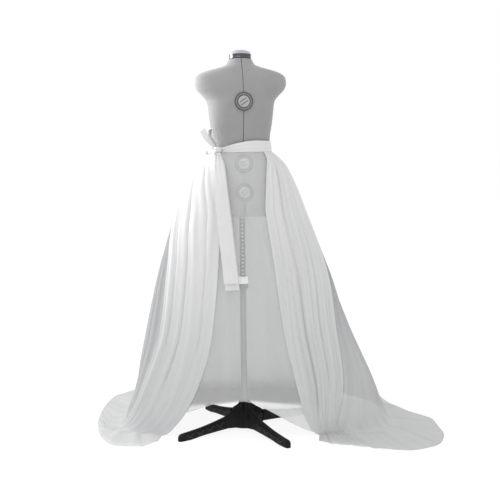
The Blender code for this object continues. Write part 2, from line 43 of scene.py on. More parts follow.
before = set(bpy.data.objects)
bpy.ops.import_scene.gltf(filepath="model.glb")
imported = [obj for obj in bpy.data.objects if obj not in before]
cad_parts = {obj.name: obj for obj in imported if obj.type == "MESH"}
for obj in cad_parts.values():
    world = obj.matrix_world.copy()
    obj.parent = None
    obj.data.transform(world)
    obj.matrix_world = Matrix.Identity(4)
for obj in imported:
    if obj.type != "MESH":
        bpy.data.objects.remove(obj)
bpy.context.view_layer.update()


def middle(node):
    low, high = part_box(node)
    return (Vector(low) + Vector(high)) / 2


POLE = middle("pole_collar")
PLACE = np.array((POLE.x, POLE.y, 0.0))  # the pole's axis on the floor

# ---- skirt pattern, in metres
# Cloth length below the waist, height, reach to the left, right, front and back of the pole,
# squareness of the back, then the over panels' edges as bearings from centre front.
SKIRT_CHART = (
    (0.000, 1.190, 0.132, 0.128, 0.104, 0.107, 2.0, 66.0, 95.0, 45.0, 100.0),
    (0.050, 1.160, 0.164, 0.161, 0.114, 0.126, 2.0, 48.0, 93.0, 40.0, 98.0),
    (0.090, 1.135, 0.194, 0.184, 0.121, 0.144, 2.0, 38.0, 90.0, 34.0, 96.0),
    (0.175, 1.060, 0.236, 0.221, 0.130, 0.165, 2.0, 28.0, 87.0, 27.0, 92.0),
    (0.312, 0.930, 0.284, 0.272, 0.138, 0.215, 2.0, 18.5, 80.0, 21.5, 86.0),
    (0.532, 0.720, 0.350, 0.356, 0.146, 0.290, 2.1, 18.0, 63.0, 21.5, 76.0),
    (0.812, 0.450, 0.415, 0.449, 0.150, 0.380, 2.2, 19.5, 57.0, 22.0, 60.0),
    (1.067, 0.200, 0.467, 0.564, 0.147, 0.465, 2.4, 25.0, 68.0, 23.5, 48.0),
    (1.180, 0.090, 0.500, 0.602, 0.144, 0.510, 2.5, 30.5, 74.0, 25.0, 42.0),
    (1.240, 0.034, 0.528, 0.628, 0.141, 0.545, 2.6, 34.5, 78.0, 26.5, 39.0),
    (1.290, 0.006, 0.568, 0.662, 0.138, 0.585, 2.6, 35.5, 80.0, 27.0, 38.0),
    (1.330, 0.000, 0.605, 0.695, 0.137, 0.620, 2.6, 35.5, 80.0, 27.0, 38.0),
)
LANDING = SKIRT_CHART[-1][0]  # cloth length at which it lies flat on the floor
FLOOR_RUN = 0.150  # what counts as the length of the cloth beyond that
# Columns are numbered from centre front, positive to the right, and each odd one is a crest.
INNER_COLUMN, OUTER_COLUMN, SIDE_COLUMN, BACK_COLUMN = 5, 19, 25, 43
FLAT_BELOW = 0.060  # the deep folds die out below this height
FOLD_DEPTH = 0.30  # of the spacing of the columns
DEEPEST_FOLD = 0.012
FOLD_SEED = 11
RIPPLE_SEED = 20
RIPPLE_HEIGHT = ((0, 0.0), (INNER_COLUMN, 0.0), (8, 0.011), (BACK_COLUMN, 0.013))
FLOOR_CLEARANCE = 0.0015
HIDDEN_DROP = 0.008  # how far a side panel stands in from the over panel that hides it
HIDDEN_HEM_INSET = 0.030  # how far short of the over panel's hem it ends
# Edge of the cloth on the floor: column, x, y from the pole.
RIGHT_HEM = (
    (5, 0.308, -0.190),
    (8, 0.350, -0.235),
    (12, 0.430, -0.258),
    (19, 0.530, -0.292),
    (22, 0.665, -0.315),
    (25, 0.790, -0.250),
    (27, 0.842, -0.100),
    (29, 0.838, 0.060),
    (31, 0.748, 0.205),
    (33, 0.690, 0.325),
    (36, 0.650, 0.500),
    (38.5, 0.500, 0.650),
    (41, 0.240, 0.745),
    (43, 0.000, 0.765),
)
LEFT_HEM = (
    (5, -0.358, -0.168),
    (7, -0.385, -0.210),
    (9, -0.425, -0.243),
    (12, -0.530, -0.225),
    (15, -0.605, -0.120),
    (19, -0.660, 0.100),
    (23, -0.672, 0.270),
    (27, -0.664, 0.430),
    (31, -0.600, 0.565),
    (36, -0.360, 0.720),
    (40, -0.160, 0.760),
    (43, 0.000, 0.765),
)
# How far down the cloth the front panel reaches, by column.
FRONT_REACH = (
    (-5, 1.165),
    (-4, 1.148),
    (-3, 1.128),
    (-2, 1.118),
    (0, 1.114),
    (1, 1.125),
    (2, 1.155),
    (3, 1.188),
    (4, 1.228),
    (5, 1.275),
)
OVER_LIFT = ((0, 0.0022), (0.2, 0.0050), (1.0, 0.0060), (1.24, 0.0034), (LANDING, 0.0020))

# Dress form: height, half width, depth in front of and behind the pole, squareness.
FORM_SECTIONS = (
    (0.922, 0.166, 0.104, 0.112, 2.3),
    (0.975, 0.171, 0.110, 0.122, 2.3),
    (1.050, 0.165, 0.110, 0.124, 2.3),
    (1.120, 0.147, 0.104, 0.112, 2.3),
    (1.170, 0.1265, 0.096, 0.098, 2.1),
    (1.210, 0.1195, 0.092, 0.092, 2.05),
    (1.260, 0.1220, 0.096, 0.093, 2.1),
    (1.310, 0.130, 0.106, 0.098, 2.2),
    (1.360, 0.136, 0.119, 0.104, 2.2),
    (1.400, 0.141, 0.125, 0.108, 2.2),
    (1.425, 0.158, 0.123, 0.109, 2.3),
    (1.450, 0.182, 0.117, 0.108, 2.5),
    (1.475, 0.191, 0.108, 0.105, 2.6),
    (1.500, 0.188, 0.096, 0.100, 2.6),
    (1.516, 0.172, 0.086, 0.094, 2.5),
    (1.530, 0.136, 0.077, 0.087, 2.3),
    (1.543, 0.086, 0.067, 0.077, 2.2),
    (1.555, 0.061, 0.057, 0.064, 2.0),
    (1.5765, 0.0475, 0.047, 0.050, 2.0),
)
FORM_TURN = math.radians(6.5)  # the form faces a little to the right
DIAL_HEIGHTS = (1.025, 1.143, 1.393)
DIAL_SWINGS = (math.radians(42), math.radians(16), math.radians(34))  # how far each grip is turned
FIRST_LEG = math.radians(-56.4)  # bearing of the front right leg from +X
KNOT_BEARING = math.radians(-42.0)


# ---- reading charts
def along(stations, values, at):
    """Smooth reading of a chart that never swings past its own values (monotone cubic)."""
    stations, values = np.asarray(stations, float), np.asarray(values, float)
    step = np.diff(stations)
    slope = np.diff(values) / step
    tangent = np.zeros(len(values))
    rising = slope[:-1] * slope[1:] > 0
    before, after = 2 * step[1:] + step[:-1], step[1:] + 2 * step[:-1]
    safe = np.where(rising, slope[:-1], 1.0), np.where(rising, slope[1:], 1.0)
    tangent[1:-1] = np.where(rising, (before + after) / (before / safe[0] + after / safe[1]), 0.0)
    tangent[0], tangent[-1] = slope[0], slope[-1]
    at = np.clip(at, stations[0], stations[-1])
    k = np.clip(np.searchsorted(stations, at, side="right") - 1, 0, len(step) - 1)
    t = (at - stations[k]) / step[k]
    return (
        (1 + 2 * t) * (1 - t) ** 2 * values[k]
        + t * (1 - t) ** 2 * step[k] * tangent[k]
        + t**2 * (3 - 2 * t) * values[k + 1]
        + t**2 * (t - 1) * step[k] * tangent[k + 1]
    )


def column_of(chart, k, at):
    return along([row[0] for row in chart], [row[k] for row in chart], at)


def readings(chart, at):
    """Every column of a chart after the first, read at one place."""
    return [float(column_of(chart, k, at)) for k in range(1, len(chart[0]))]


def smooth(low, high, value):
    t = np.clip((value - low) / (high - low), 0.0, 1.0)
    return t * t * (3 - 2 * t)


def wander(seed, at):
    """Smooth random values from -1 to 1, one for each whole step."""
    values = np.random.default_rng(seed).uniform(-1, 1, 256)
    low = np.floor(at).astype(int)
    t = at - low
    t = t * t * (3 - 2 * t)
    return values[low % 256] * (1 - t) + values[(low + 1) % 256] * t


# ---- shader maths
class Value:
    """A socket that adds Math nodes when it is used in sums."""

    def __init__(self, sheet, socket):
        self.sheet, self.socket = sheet, socket

    def _math(self, operation, *others):
        return self.sheet.node("ShaderNodeMath", {"operation": operation}, *others)

    def __add__(self, other):
        return self._math("ADD", self, other)

    def __radd__(self, other):
        return self._math("ADD", other, self)

    def __sub__(self, other):
        return self._math("SUBTRACT", self, other)

    def __rsub__(self, other):
        return self._math("SUBTRACT", other, self)

    def __mul__(self, other):
        return self._math("MULTIPLY", self, other)

    def __rmul__(self, other):
        return self._math("MULTIPLY", other, self)

    def __lt__(self, other):
        return self._math("LESS_THAN", self, other)

    def __gt__(self, other):
        return self._math("GREATER_THAN", self, other)

    def __mod__(self, other):
        return self._math("MODULO", self, other)

    def __abs__(self):
        return self._math("ABSOLUTE", self)

    def clipped(self, low, high):
        """0 at low, 1 at high, smooth between."""
        settings = {"interpolation_type": "SMOOTHSTEP", "clamp": True}
        return self.sheet.node("ShaderNodeMapRange", settings, self, low, high, 0.0, 1.0)


class Finish:
    """A material in the making, one node method and the shader's own sockets."""

    def __init__(self, name, colour, roughness, metallic=0.0, **fixed):
        self.material = bpy.data.materials.new(name)
        self.material.use_nodes = True
        self.tree = self.material.node_tree
        self.shader = self.tree.nodes["Principled BSDF"]
        self.shader.inputs["Base Color"].default_value = (*colour, 1.0)
        self.shader.inputs["Roughness"].default_value = roughness
        self.shader.inputs["Metallic"].default_value = metallic
        for socket, value in fixed.items():
            self.shader.inputs[socket.replace("_", " ")].default_value = value

    def put(self, socket, value):
        if isinstance(value, Value):
            self.tree.links.new(value.socket, socket)
        elif isinstance(value, bpy.types.NodeSocket):
            self.tree.links.new(value, socket)
        else:
            socket.default_value = value

    def node(self, kind, settings, *values, out=0, **named):
        made = self.tree.nodes.new(kind)
        for name, setting in settings.items():
            setattr(made, name, setting)
        for socket, value in zip(made.inputs, values):
            self.put(socket, value)
        for name, value in named.items():
            self.put(made.inputs[name.replace("_", " ")], value)
        return Value(self, made.outputs[out])

    def mixed(self, blend, factor, low, high):
        mix = self.tree.nodes.new("ShaderNodeMix")
        mix.data_type, mix.blend_type = "RGBA", blend
        for socket, value in zip((mix.inputs[0], mix.inputs[6], mix.inputs[7]), (factor, low, high)):
            self.put(socket, (*value, 1.0) if isinstance(value, tuple) and len(value) == 3 else value)
        return Value(self, mix.outputs[2])

    def colours(self, factor, low, high):
        """Mix between two colours."""
        return self.mixed("MIX", factor, low, high)

    def tinted(self, colour, by):
        """One colour multiplied by another."""
        return self.mixed("MULTIPLY", 1.0, colour, by)

    def place(self):
        """Where a point of the piece stands, in metres."""
        return self.tree.nodes.new("ShaderNodeTexCoord").outputs["Object"]

    def chart(self):
        """Where a point lies on the flat cloth."""
        return self.node("ShaderNodeUVMap", {"uv_map": "Cloth"})

    def stretched(self, where, scale):
        return self.node("ShaderNodeMapping", {}, Vector=where, Scale=scale)

    def split(self, where):
        made = self.tree.nodes.new("ShaderNodeSeparateXYZ")
        self.put(made.inputs[0], where)
        return [Value(self, socket) for socket in made.outputs]

    def noise(self, where, scale, detail, roughness=0.5):
        settings = {"Scale": scale, "Detail": detail, "Roughness": roughness}
        return self.node("ShaderNodeTexNoise", {}, Vector=where, **settings)

    def bump(self, height, distance, strength):
        made = self.node("ShaderNodeBump", {}, Strength=strength, Distance=distance, Height=height)
        self.put(self.shader.inputs["Normal"], made)

    def feed(self, **inputs):
        for socket, value in inputs.items():
            self.put(self.shader.inputs[socket.replace("_", " ")], value)
        return self.material


# ---- making pieces
def finished(name, shape, material, replaced=(), soft=True):
    """A bmesh becomes a named piece that rides with the form and takes this finish."""
    mesh = bpy.data.meshes.new(name)
    shape.to_mesh(mesh)
    shape.free()
    mesh.materials.append(material)
    mesh.shade_smooth()
    if not soft:
        mesh.set_sharp_from_angle(angle=math.radians(38))
    piece = bpy.data.objects.new(name, mesh)
    bpy.context.scene.collection.objects.link(piece)
    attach(piece, "root")
    if replaced:
        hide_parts(*replaced)
    return piece


def cloth(name, points, chart, material, replaced, wall):
    """A sheet through a grid of points, rows from top to bottom and columns from left to right
    as seen from outside, with its own chart and a thin wall."""
    rows, columns = points.shape[:2]
    shape = bmesh.new()
    bmesh.ops.create_grid(shape, x_segments=columns - 1, y_segments=rows - 1, size=1.0)
    shape.verts.ensure_lookup_table()
    flat = np.array([v.co[:] for v in shape.verts])
    column = np.rint((flat[:, 0] + 1) / 2 * (columns - 1)).astype(int)
    row = np.rint((1 - flat[:, 1]) / 2 * (rows - 1)).astype(int)
    piece = finished(name, shape, material, replaced)
    mesh = piece.data
    mesh.vertices.foreach_set("co", points[row, column].astype(np.float32).ravel())
    layer = mesh.uv_layers.new(name="Cloth")
    corners = np.empty(len(mesh.loops), np.int32)
    mesh.loops.foreach_get("vertex_index", corners)
    layer.data.foreach_set("uv", chart[row, column][corners].astype(np.float32).ravel())
    mesh.update()
    thick = piece.modifiers.new("Wall", "SOLIDIFY")
    thick.thickness = wall
    thick.offset = 0.0
    thick.use_even_offset = False
    return piece


def outward(points):
    down, across = np.gradient(points, axis=0), np.gradient(points, axis=1)
    normals = np.cross(down, across)
    return normals / np.maximum(np.linalg.norm(normals, axis=2, keepdims=True), 1e-12)


def rings_to_solid(rings):
    """A closed bmesh through rings of points, each ring counterclockwise seen from its top."""
    shape = bmesh.new()
    loops = []
    for ring in rings:
        corners = [shape.verts.new(point) for point in ring]
        loops.append([shape.edges.new((a, b)) for a, b in zip(corners, corners[1:] + corners[:1])])
    for lower, upper in zip(loops, loops[1:]):
        bmesh.ops.bridge_loops(shape, edges=lower + upper)
    bmesh.ops.contextual_create(shape, geom=loops[0])
    bmesh.ops.contextual_create(shape, geom=loops[-1])
    bmesh.ops.recalc_face_normals(shape, faces=shape.faces[:])
    return shape


def turned(profile, steps, place):
    """A solid spun about Z from an (radius, height) profile that starts and ends on the axis."""
    shape = bmesh.new()
    corners = [shape.verts.new((r, 0.0, z)) for r, z in profile]
    line = [shape.edges.new(pair) for pair in zip(corners, corners[1:])]
    bmesh.ops.spin(
        shape,
        geom=corners + line,
        cent=(0, 0, 0),
        axis=(0, 0, 1),
        angle=2 * math.pi,
        steps=steps,
        use_merge=True,
        use_duplicate=False,
    )
    bmesh.ops.remove_doubles(shape, verts=shape.verts[:], dist=1e-6)
    bmesh.ops.recalc_face_normals(shape, faces=shape.faces[:])
    bmesh.ops.transform(shape, matrix=place, verts=shape.verts[:])
    return shape


# ---- skirt surface
def bearing_of(column, length):
    right_in, right_out = column_of(SKIRT_CHART, 9, length), column_of(SKIRT_CHART, 10, length)
    left_in, left_out = column_of(SKIRT_CHART, 7, length), column_of(SKIRT_CHART, 8, length)
    inner = np.where(column > 0, right_in, left_in)
    outer = np.where(column > 0, right_out, left_out)
    c = np.abs(column)
    near = inner * c / INNER_COLUMN
    mid = inner + (outer - inner) * (c - INNER_COLUMN) / (OUTER_COLUMN - INNER_COLUMN)
    far = outer + (180 - outer) * (c - OUTER_COLUMN) / (BACK_COLUMN - OUTER_COLUMN)
    turn = np.where(c < INNER_COLUMN, near, np.where(c < OUTER_COLUMN, mid, far))
    return np.radians(turn) * np.sign(column)


def unfolded(column, length):
    """Points of the hanging cloth with no folds in it, from the pole's foot."""
    z, left, right, front, back, squareness = (column_of(SKIRT_CHART, k, length) for k in range(1, 7))
    turn = bearing_of(column, length)
    across, ahead = np.sin(turn), np.cos(turn)
    power = np.where(ahead > 0, 1.0, 2.0 / squareness)
    x = np.sign(across) * np.abs(across) ** power * np.where(across > 0, right, left)
    y = -np.sign(ahead) * np.abs(ahead) ** power * np.where(ahead > 0, front, back)
    return np.stack([x, y, np.maximum(z, 0.0)], axis=-1)


def hem_line(column):
    right = [column_of(RIGHT_HEM, k, np.abs(column)) for k in (1, 2)]
    left = [column_of(LEFT_HEM, k, np.abs(column)) for k in (1, 2)]
    x, y = (np.where(column > 0, r, l) for r, l in zip(right, left))
    return np.stack([x, y, np.zeros_like(x)], axis=-1)


def crease(column, length, start, end, depth, width):
    """A soft trough, or a ridge where depth is above 0, from one (column, length) to another."""
    (c0, l0), (c1, l1) = start, end
    t = np.clip((length - l0) / (l1 - l0), 0.0, 1.0)
    line = c0 + (c1 - c0) * t**0.9
    fade = smooth(l0 - 0.06, l0 + 0.06, length) * (1 - smooth(l1 - 0.10, l1 + 0.02, length))
    return depth * fade * np.exp(-(((column - line) / width) ** 2))


class Folds:
    """How deep the folds are, and how they wander, on one layer of cloth."""

    def __init__(self, deep, fine, creases=()):
        self.deep, self.fine, self.creases = deep, fine, creases

    def height(self, column, length, spacing, z):
        drift = 0.55 * wander(FOLD_SEED, column * 0.37 + 50)
        drift = drift + 0.25 * wander(FOLD_SEED + 1, length * 3 + 9)
        swell = 0.75 + 0.35 * wander(FOLD_SEED + 2, column * 0.55 + 80)
        depth = np.minimum(FOLD_DEPTH * spacing, DEEPEST_FOLD) * self.deep
        quiet = np.interp(np.abs(column), [0, 4, 7], [0.25, 0.4, 1.0])
        fading = smooth(0.0, FLAT_BELOW, z)
        wave = -np.cos(math.pi * (column + drift * 0.6))
        finer = np.sin(math.pi * 2.7 * column + 4 * drift) * wander(FOLD_SEED + 3, column * 0.8 + 31)
        height = depth * quiet * swell * (wave + self.fine * finer)
        for start, end, trough, width in self.creases:
            height = height + crease(column, length, start, end, trough, width)
        return height * fading


def ripple(column, length):
    """Low ripples that run out over the floor, as a height above it."""
    reach = smooth(LANDING - 0.10, LANDING + 0.02, length) * (1 - smooth(1.36, 1.50, length) * 0.75)
    rise = 0.5 + 0.5 * np.cos(math.pi * 0.62 * column + 2.2 * wander(RIPPLE_SEED, column * 0.3 + 12))
    rise = rise**1.6 * (0.65 + 0.35 * wander(RIPPLE_SEED + 5, column * 0.45 + 3))
    return reach * rise * np.interp(np.abs(column), *zip(*RIPPLE_HEIGHT))


def skirt_points(columns, lengths, folds, lift=0.0):
    """The cloth at these columns and lengths, both grids of one shape, in the row frame."""
    length = np.minimum(lengths, LANDING)
    base = unfolded(columns, length)
    low = unfolded(np.maximum(columns - 0.5, -BACK_COLUMN), length)
    high = unfolded(np.minimum(columns + 0.5, BACK_COLUMN), length)
    run = high - low
    spacing = np.hypot(run[..., 0], run[..., 1])
    out = np.stack([run[..., 1], -run[..., 0], np.zeros_like(spacing)], axis=-1) / spacing[..., None]
    points = base + out * folds.height(columns, length, spacing, base[..., 2])[..., None]
    share = np.clip((lengths - LANDING) / FLOOR_RUN, 0.0, 1.0)[..., None]
    points = (1 - share) * points + share * hem_line(columns)
    points[..., 2] += ripple(columns, lengths) + FLOOR_CLEARANCE
    normals = outward(points)
    normals[lengths <= 0.001, 2] = 0.0
    return points + normals * np.asarray(lift)[..., None] + PLACE


def panel_grid(first, last, per_column, lengths):
    columns = np.linspace(first, last, int((last - first) * per_column) + 1)
    return np.meshgrid(columns, lengths)


def cloth_rows(count, end):
    """Cloth lengths, closer together where the skirt turns out from the waist and at the hem."""
    t = np.linspace(0, 1, count)
    return end * (t - 0.35 * np.sin(2 * math.pi * t) / (2 * math.pi))


# ---- settings
class TulleSettings(bpy.types.PropertyGroup):
    wall: bpy.props.FloatProperty(
        name="Wall", description="Thickness of a tulle panel", default=0.0007, unit="LENGTH"
    )
    # The side layers are the same tulle as the back ones, painted darker: painted shade.
    under_colour: bpy.props.FloatVectorProperty(
        name="Side layers",
        description="Colour of the few layers at the sides",
        default=(0.40, 0.41, 0.42),
        subtype="COLOR",
    )
    back_colour: bpy.props.FloatVectorProperty(
        name="Back layers",
        description="Colour of the few layers at the back",
        default=(0.62, 0.63, 0.64),
        subtype="COLOR",
    )
    # The left and right over panels are one tulle: the left is painted lighter and the right darker, painted
    # light and shade for the lamp on the left.
    left_colour: bpy.props.FloatVectorProperty(
        name="Left layers",
        description="Colour of the full layers on the left",
        default=(0.92, 0.92, 0.92),
        subtype="COLOR",
    )
    right_colour: bpy.props.FloatVectorProperty(
        name="Right layers",
        description="Colour of the full layers on the right",
        default=(0.80, 0.80, 0.805),
        subtype="COLOR",
    )
    # The train colour is painted shade: the layers darken towards the floor for the light falling off lower
    # down.
    low_colour: bpy.props.FloatVectorProperty(
        name="Train",
        description="Colour of all the layers near the floor",
        default=(0.67, 0.675, 0.68),
        subtype="COLOR",
    )
    sheer_colour: bpy.props.FloatVectorProperty(
        name="Front layer",
        description="Colour of the sheer front layer",
        default=(0.965, 0.97, 0.975),
        subtype="COLOR",
    )
    sheer_cover: bpy.props.FloatProperty(
        name="Front cover",
        description="Share of what is behind that the front hides",
        default=0.42,
        subtype="FACTOR",
    )
    under_cover: bpy.props.FloatProperty(
        name="Under cover",
        description="Share that the under layers hide",
        default=0.88,
        subtype="FACTOR",
    )
    over_cover: bpy.props.FloatProperty(
        name="Over cover",
        description="Share that the over layers hide",
        default=0.93,
        subtype="FACTOR",
    )


class SashSettings(bpy.types.PropertyGroup):
    wall: bpy.props.FloatProperty(
        name="Wall", description="Thickness of the ribbon", default=0.0008, unit="LENGTH"
    )
    colour: bpy.props.FloatVectorProperty(
        name="Satin",
        description="Colour of the ribbon",
        default=(0.66, 0.66, 0.66),
        subtype="COLOR",
    )


class FormSettings(bpy.types.PropertyGroup):
    fabric: bpy.props.FloatVectorProperty(
        name="Form fabric",
        description="Colour of the form's cover",
        default=(0.292, 0.292, 0.292),
        subtype="COLOR",
    )
    slot: bpy.props.FloatProperty(
        name="Gap", description="Width of the gap down the form", default=0.003, unit="LENGTH"
    )


class StandSettings(bpy.types.PropertyGroup):
    mark_step: bpy.props.FloatProperty(
        name="Scale step",
        description="Distance between marks on the pole",
        default=0.016,
        unit="LENGTH",
    )
    base_colour: bpy.props.FloatVectorProperty(
        name="Base",
        description="Colour of the moulded base",
        default=(0.007, 0.007, 0.0075),
        subtype="COLOR",
    )
    # The ribs are painted lighter than the moulding: a painted highlight on the crossed ribs.
    rib_colour: bpy.props.FloatVectorProperty(
        name="Ribs",
        description="Colour of the ribs on the base",
        default=(0.035, 0.035, 0.036),
        subtype="COLOR",
    )


class StageSettings(bpy.types.PropertyGroup):
    key_power: bpy.props.FloatProperty(
        name="Key light",
        description="Power of the soft light on the left",
        default=20.0,
        unit="POWER",
    )
    sky: bpy.props.FloatProperty(
        name="Surround", description="Brightness of the white surround", default=1.0
    )


# ---- finishes
def shaded(colour, by):
    return tuple(c * by for c in colour)


def tulle_finish(name, colour, low_colour, cover, streaks=1.0, hem_cover=None):
    """Soft net in layers: long gathers that follow the cloth, with a fine net in them.
    The tone runs from colour at the waist to low_colour where the cloth nears the floor, a painted shade for
    the light falling off lower down.
    Cover is the share of what lies behind that the cloth hides, and hem_cover that near a hem."""
    net = Finish(name, colour, 0.85, Sheen_Weight=0.05, Sheen_Roughness=0.6, Specular_IOR_Level=0.1)
    chart = net.chart()
    long_gathers = net.noise(net.stretched(chart, (0.42, 0.45, 1.0)), 3.2, 3.0)
    fine_gathers = net.noise(net.stretched(chart, (2.4, 0.7, 1.0)), 3.0, 3.0, 0.55)
    streak = long_gathers.clipped(0.30, 0.70) * 0.65 + fine_gathers.clipped(0.30, 0.70) * 0.35
    holes = net.node(
        "ShaderNodeTexVoronoi", {"feature": "DISTANCE_TO_EDGE"}, Vector=net.place(), Scale=620.0
    )
    thread = 1.0 - holes.clipped(0.02, 0.14)
    along_cloth = net.split(chart)[1]
    # painted shade: darker towards the floor
    tone = net.colours(along_cloth.clipped(0.10, 1.15), colour, low_colour)
    dim = 1.0 - 0.09 * streaks
    shade = net.colours(streak * 0.8 + thread * 0.2, (dim, dim, dim), (1.0, 1.0, 1.0))
    each, low_each = (1 - (1 - share) ** 0.5 for share in (cover, hem_cover or cover))  # by each face
    hidden = along_cloth.clipped(1.11, 1.17) * (low_each - each) + each
    net.bump(fine_gathers * 0.8 + thread * 0.2, 0.0008 * streaks, 0.3)
    return net.feed(
        Base_Color=net.tinted(tone, shade),
        Alpha=streak * (0.07 * streaks) + hidden - 0.035 * streaks,
    )


def satin_finish(colour):
    """Ribbon with a soft sheen and fine threads along its length."""
    satin = Finish("satin ribbon", colour, 0.36, Sheen_Weight=0.25, Sheen_Roughness=0.3)
    chart = satin.chart()
    threads = satin.noise(satin.stretched(chart, (220.0, 3.0, 1.0)), 1.0, 2.0)
    slubs = satin.noise(satin.stretched(chart, (6.0, 9.0, 1.0)), 1.0, 2.0)
    satin.bump(threads * 0.7 + slubs * 0.3, 0.0004, 0.35)
    shade = slubs.clipped(0.3, 0.7)
    return satin.feed(
        Base_Color=satin.colours(shade, shaded(colour, 0.96), colour),
        Roughness=0.30 + 0.12 * slubs,
    )


def jersey_finish(colour):
    """Foam-backed jersey: a fine knit with a little fuzz."""
    jersey = Finish(
        "form jersey", colour, 0.9, Sheen_Weight=0.25, Sheen_Roughness=0.5, Specular_IOR_Level=0.25
    )
    where = jersey.place()
    knit = jersey.noise(jersey.stretched(where, (1.0, 1.0, 2.0)), 900.0, 2.0)
    cloudy = jersey.noise(where, 14.0, 3.0)
    jersey.bump(knit, 0.0006, 0.5)
    shade = (knit * 0.5 + cloudy * 0.5).clipped(0.3, 0.7)
    return jersey.feed(Base_Color=jersey.colours(shade, shaded(colour, 0.93), shaded(colour, 1.05)))


def moulded_finish(name, colour, roughness, grain=700.0, depth=0.0002, metallic=0.0, shine=0.4, glow=0.0):
    """Moulded plastic or drawn metal with a fine grain and slight uneven gloss."""
    # glow is light the finish gives out itself: painted light where it is used
    moulded = Finish(name, colour, roughness, metallic, Specular_IOR_Level=shine, Emission_Strength=glow)
    where = moulded.place()
    fine = moulded.noise(where, grain, 2.0)
    broad = moulded.noise(where, 25.0, 3.0)
    moulded.bump(fine, depth, 0.4)
    return moulded.feed(
        Base_Color=moulded.colours(broad.clipped(0.3, 0.7), shaded(colour, 0.9), shaded(colour, 1.08)),
        Roughness=roughness - 0.05 + 0.1 * broad,
    )


def scaled_pole_finish(step):
    """Dark steel tube with a pale mark at each step of its height scale, down the front."""
    steel = Finish("scaled pole", (0.10, 0.11, 0.105), 0.38, 0.6)
    where = steel.place()
    x, y, z = steel.split(where)
    across = abs(x - POLE.x)
    mark = ((z % step) < step * 0.42) * (across < 0.0042) * (y < POLE.y)
    line = ((z % (step / 2)) < 0.0012) * (across > 0.0052) * (across < 0.0095) * (y < POLE.y)
    scratches = steel.noise(steel.stretched(where, (1.0, 1.0, 0.06)), 700.0, 2.0)
    steel.bump(scratches, 0.0002, 0.3)
    return steel.feed(
        Base_Color=steel.colours(mark * 0.8 + line * 0.5, (0.10, 0.11, 0.105), (0.62, 0.63, 0.62)),
        Metallic=0.6 - 0.6 * mark,
        Roughness=0.34 + 0.12 * scratches,
    )


class OVERSKIRT_OT_under_panels(bpy.types.Operator):
    """Hang the side and back panels and the sheer front panel."""

    bl_idname = "overskirt.under_panels"
    bl_label = "Under panels"

    def execute(self, context):
        settings = context.scene.overskirt_tulle
        # The under layers' train is darker still, painted shade.
        low = shaded(settings.low_colour, 0.87)
        # The side tulle takes the darker colour, painted shade.
        side_net = tulle_finish("side tulle", tuple(settings.under_colour), low, settings.under_cover)
        back_net = tulle_finish("back tulle", tuple(settings.back_colour), low, settings.under_cover)
        white = tuple(settings.sheer_colour)
        # The sheer front darkens towards its hem too, painted shade.
        sheer = tulle_finish(
            "sheer tulle", white, shaded(white, 0.80), settings.sheer_cover, streaks=0.35, hem_cover=0.90
        )
        lengths = cloth_rows(110, LANDING + FLOOR_RUN)
        for name, first, last, width, area in (
            ("back_tulle_left", -BACK_COLUMN, -SIDE_COLUMN, 1.30, 0.95),
            ("side_tulle_left", -SIDE_COLUMN, -INNER_COLUMN, 0.80, 0.48),
            ("side_tulle_right", INNER_COLUMN, SIDE_COLUMN, 0.80, 0.48),
            ("back_tulle_right", SIDE_COLUMN, BACK_COLUMN, 1.30, 0.95),
        ):
            columns, down = panel_grid(first, last, 8, lengths)
            hidden = smooth(INNER_COLUMN + 0.3, INNER_COLUMN + 1.5, np.abs(columns))
            hidden = hidden * (1 - smooth(OUTER_COLUMN - 1.5, OUTER_COLUMN - 0.3, np.abs(columns)))
            lift = -HIDDEN_DROP * hidden * smooth(0.02, 0.10, down) * (1 - smooth(1.05, 1.24, down))
            down = down - HIDDEN_HEM_INSET * hidden * smooth(LANDING, LANDING + FLOOR_RUN, down)
            points = skirt_points(columns, down, Folds(0.6, 0.10), lift)
            node = name.replace("tulle", "panel")
            material = back_net if name.startswith("back") else side_net
            chart = np.stack([columns, down], axis=-1)
            piece = cloth(name, points, chart, material, [node], settings.wall)
        columns, share = panel_grid(-INNER_COLUMN, INNER_COLUMN, 12, cloth_rows(90, 1.0))
        reach = np.interp(columns, *zip(*FRONT_REACH))
        down = share * reach
        points = skirt_points(columns, down, Folds(0.45, 0.0))
        chart = np.stack([columns, down], axis=-1)
        nodes = ["front_sheer_panel"]
        piece = cloth("front_tulle", points, chart, sheer, nodes, settings.wall)
        return {"FINISHED"}


# Creases: start and end as (column, cloth length), depth, half width in columns.
LEFT_CREASES = (
    ((-8.0, 0.10), (-7.0, 0.95), -0.006, 0.40),
    ((-10.5, 0.30), (-9.2, 1.15), 0.005, 0.60),
    ((-12.0, 0.15), (-12.5, 1.10), -0.007, 0.40),
    ((-15.0, 0.05), (-16.0, 0.90), -0.006, 0.40),
    ((-17.0, 0.25), (-17.3, 1.20), 0.005, 0.50),
)
RIGHT_CREASES = (
    ((6.3, 0.02), (6.6, 0.80), 0.006, 0.35),
    ((7.6, 0.10), (9.5, 1.20), 0.008, 0.35),
    ((8.6, 0.08), (10.4, 1.20), -0.007, 0.35),
    ((10.5, 0.12), (12.4, 1.25), 0.008, 0.40),
    ((13.0, 0.05), (14.2, 1.10), -0.006, 0.40),
    ((15.0, 0.30), (16.2, 1.20), 0.006, 0.40),
    ((17.0, 0.10), (17.6, 1.10), -0.005, 0.40),
)


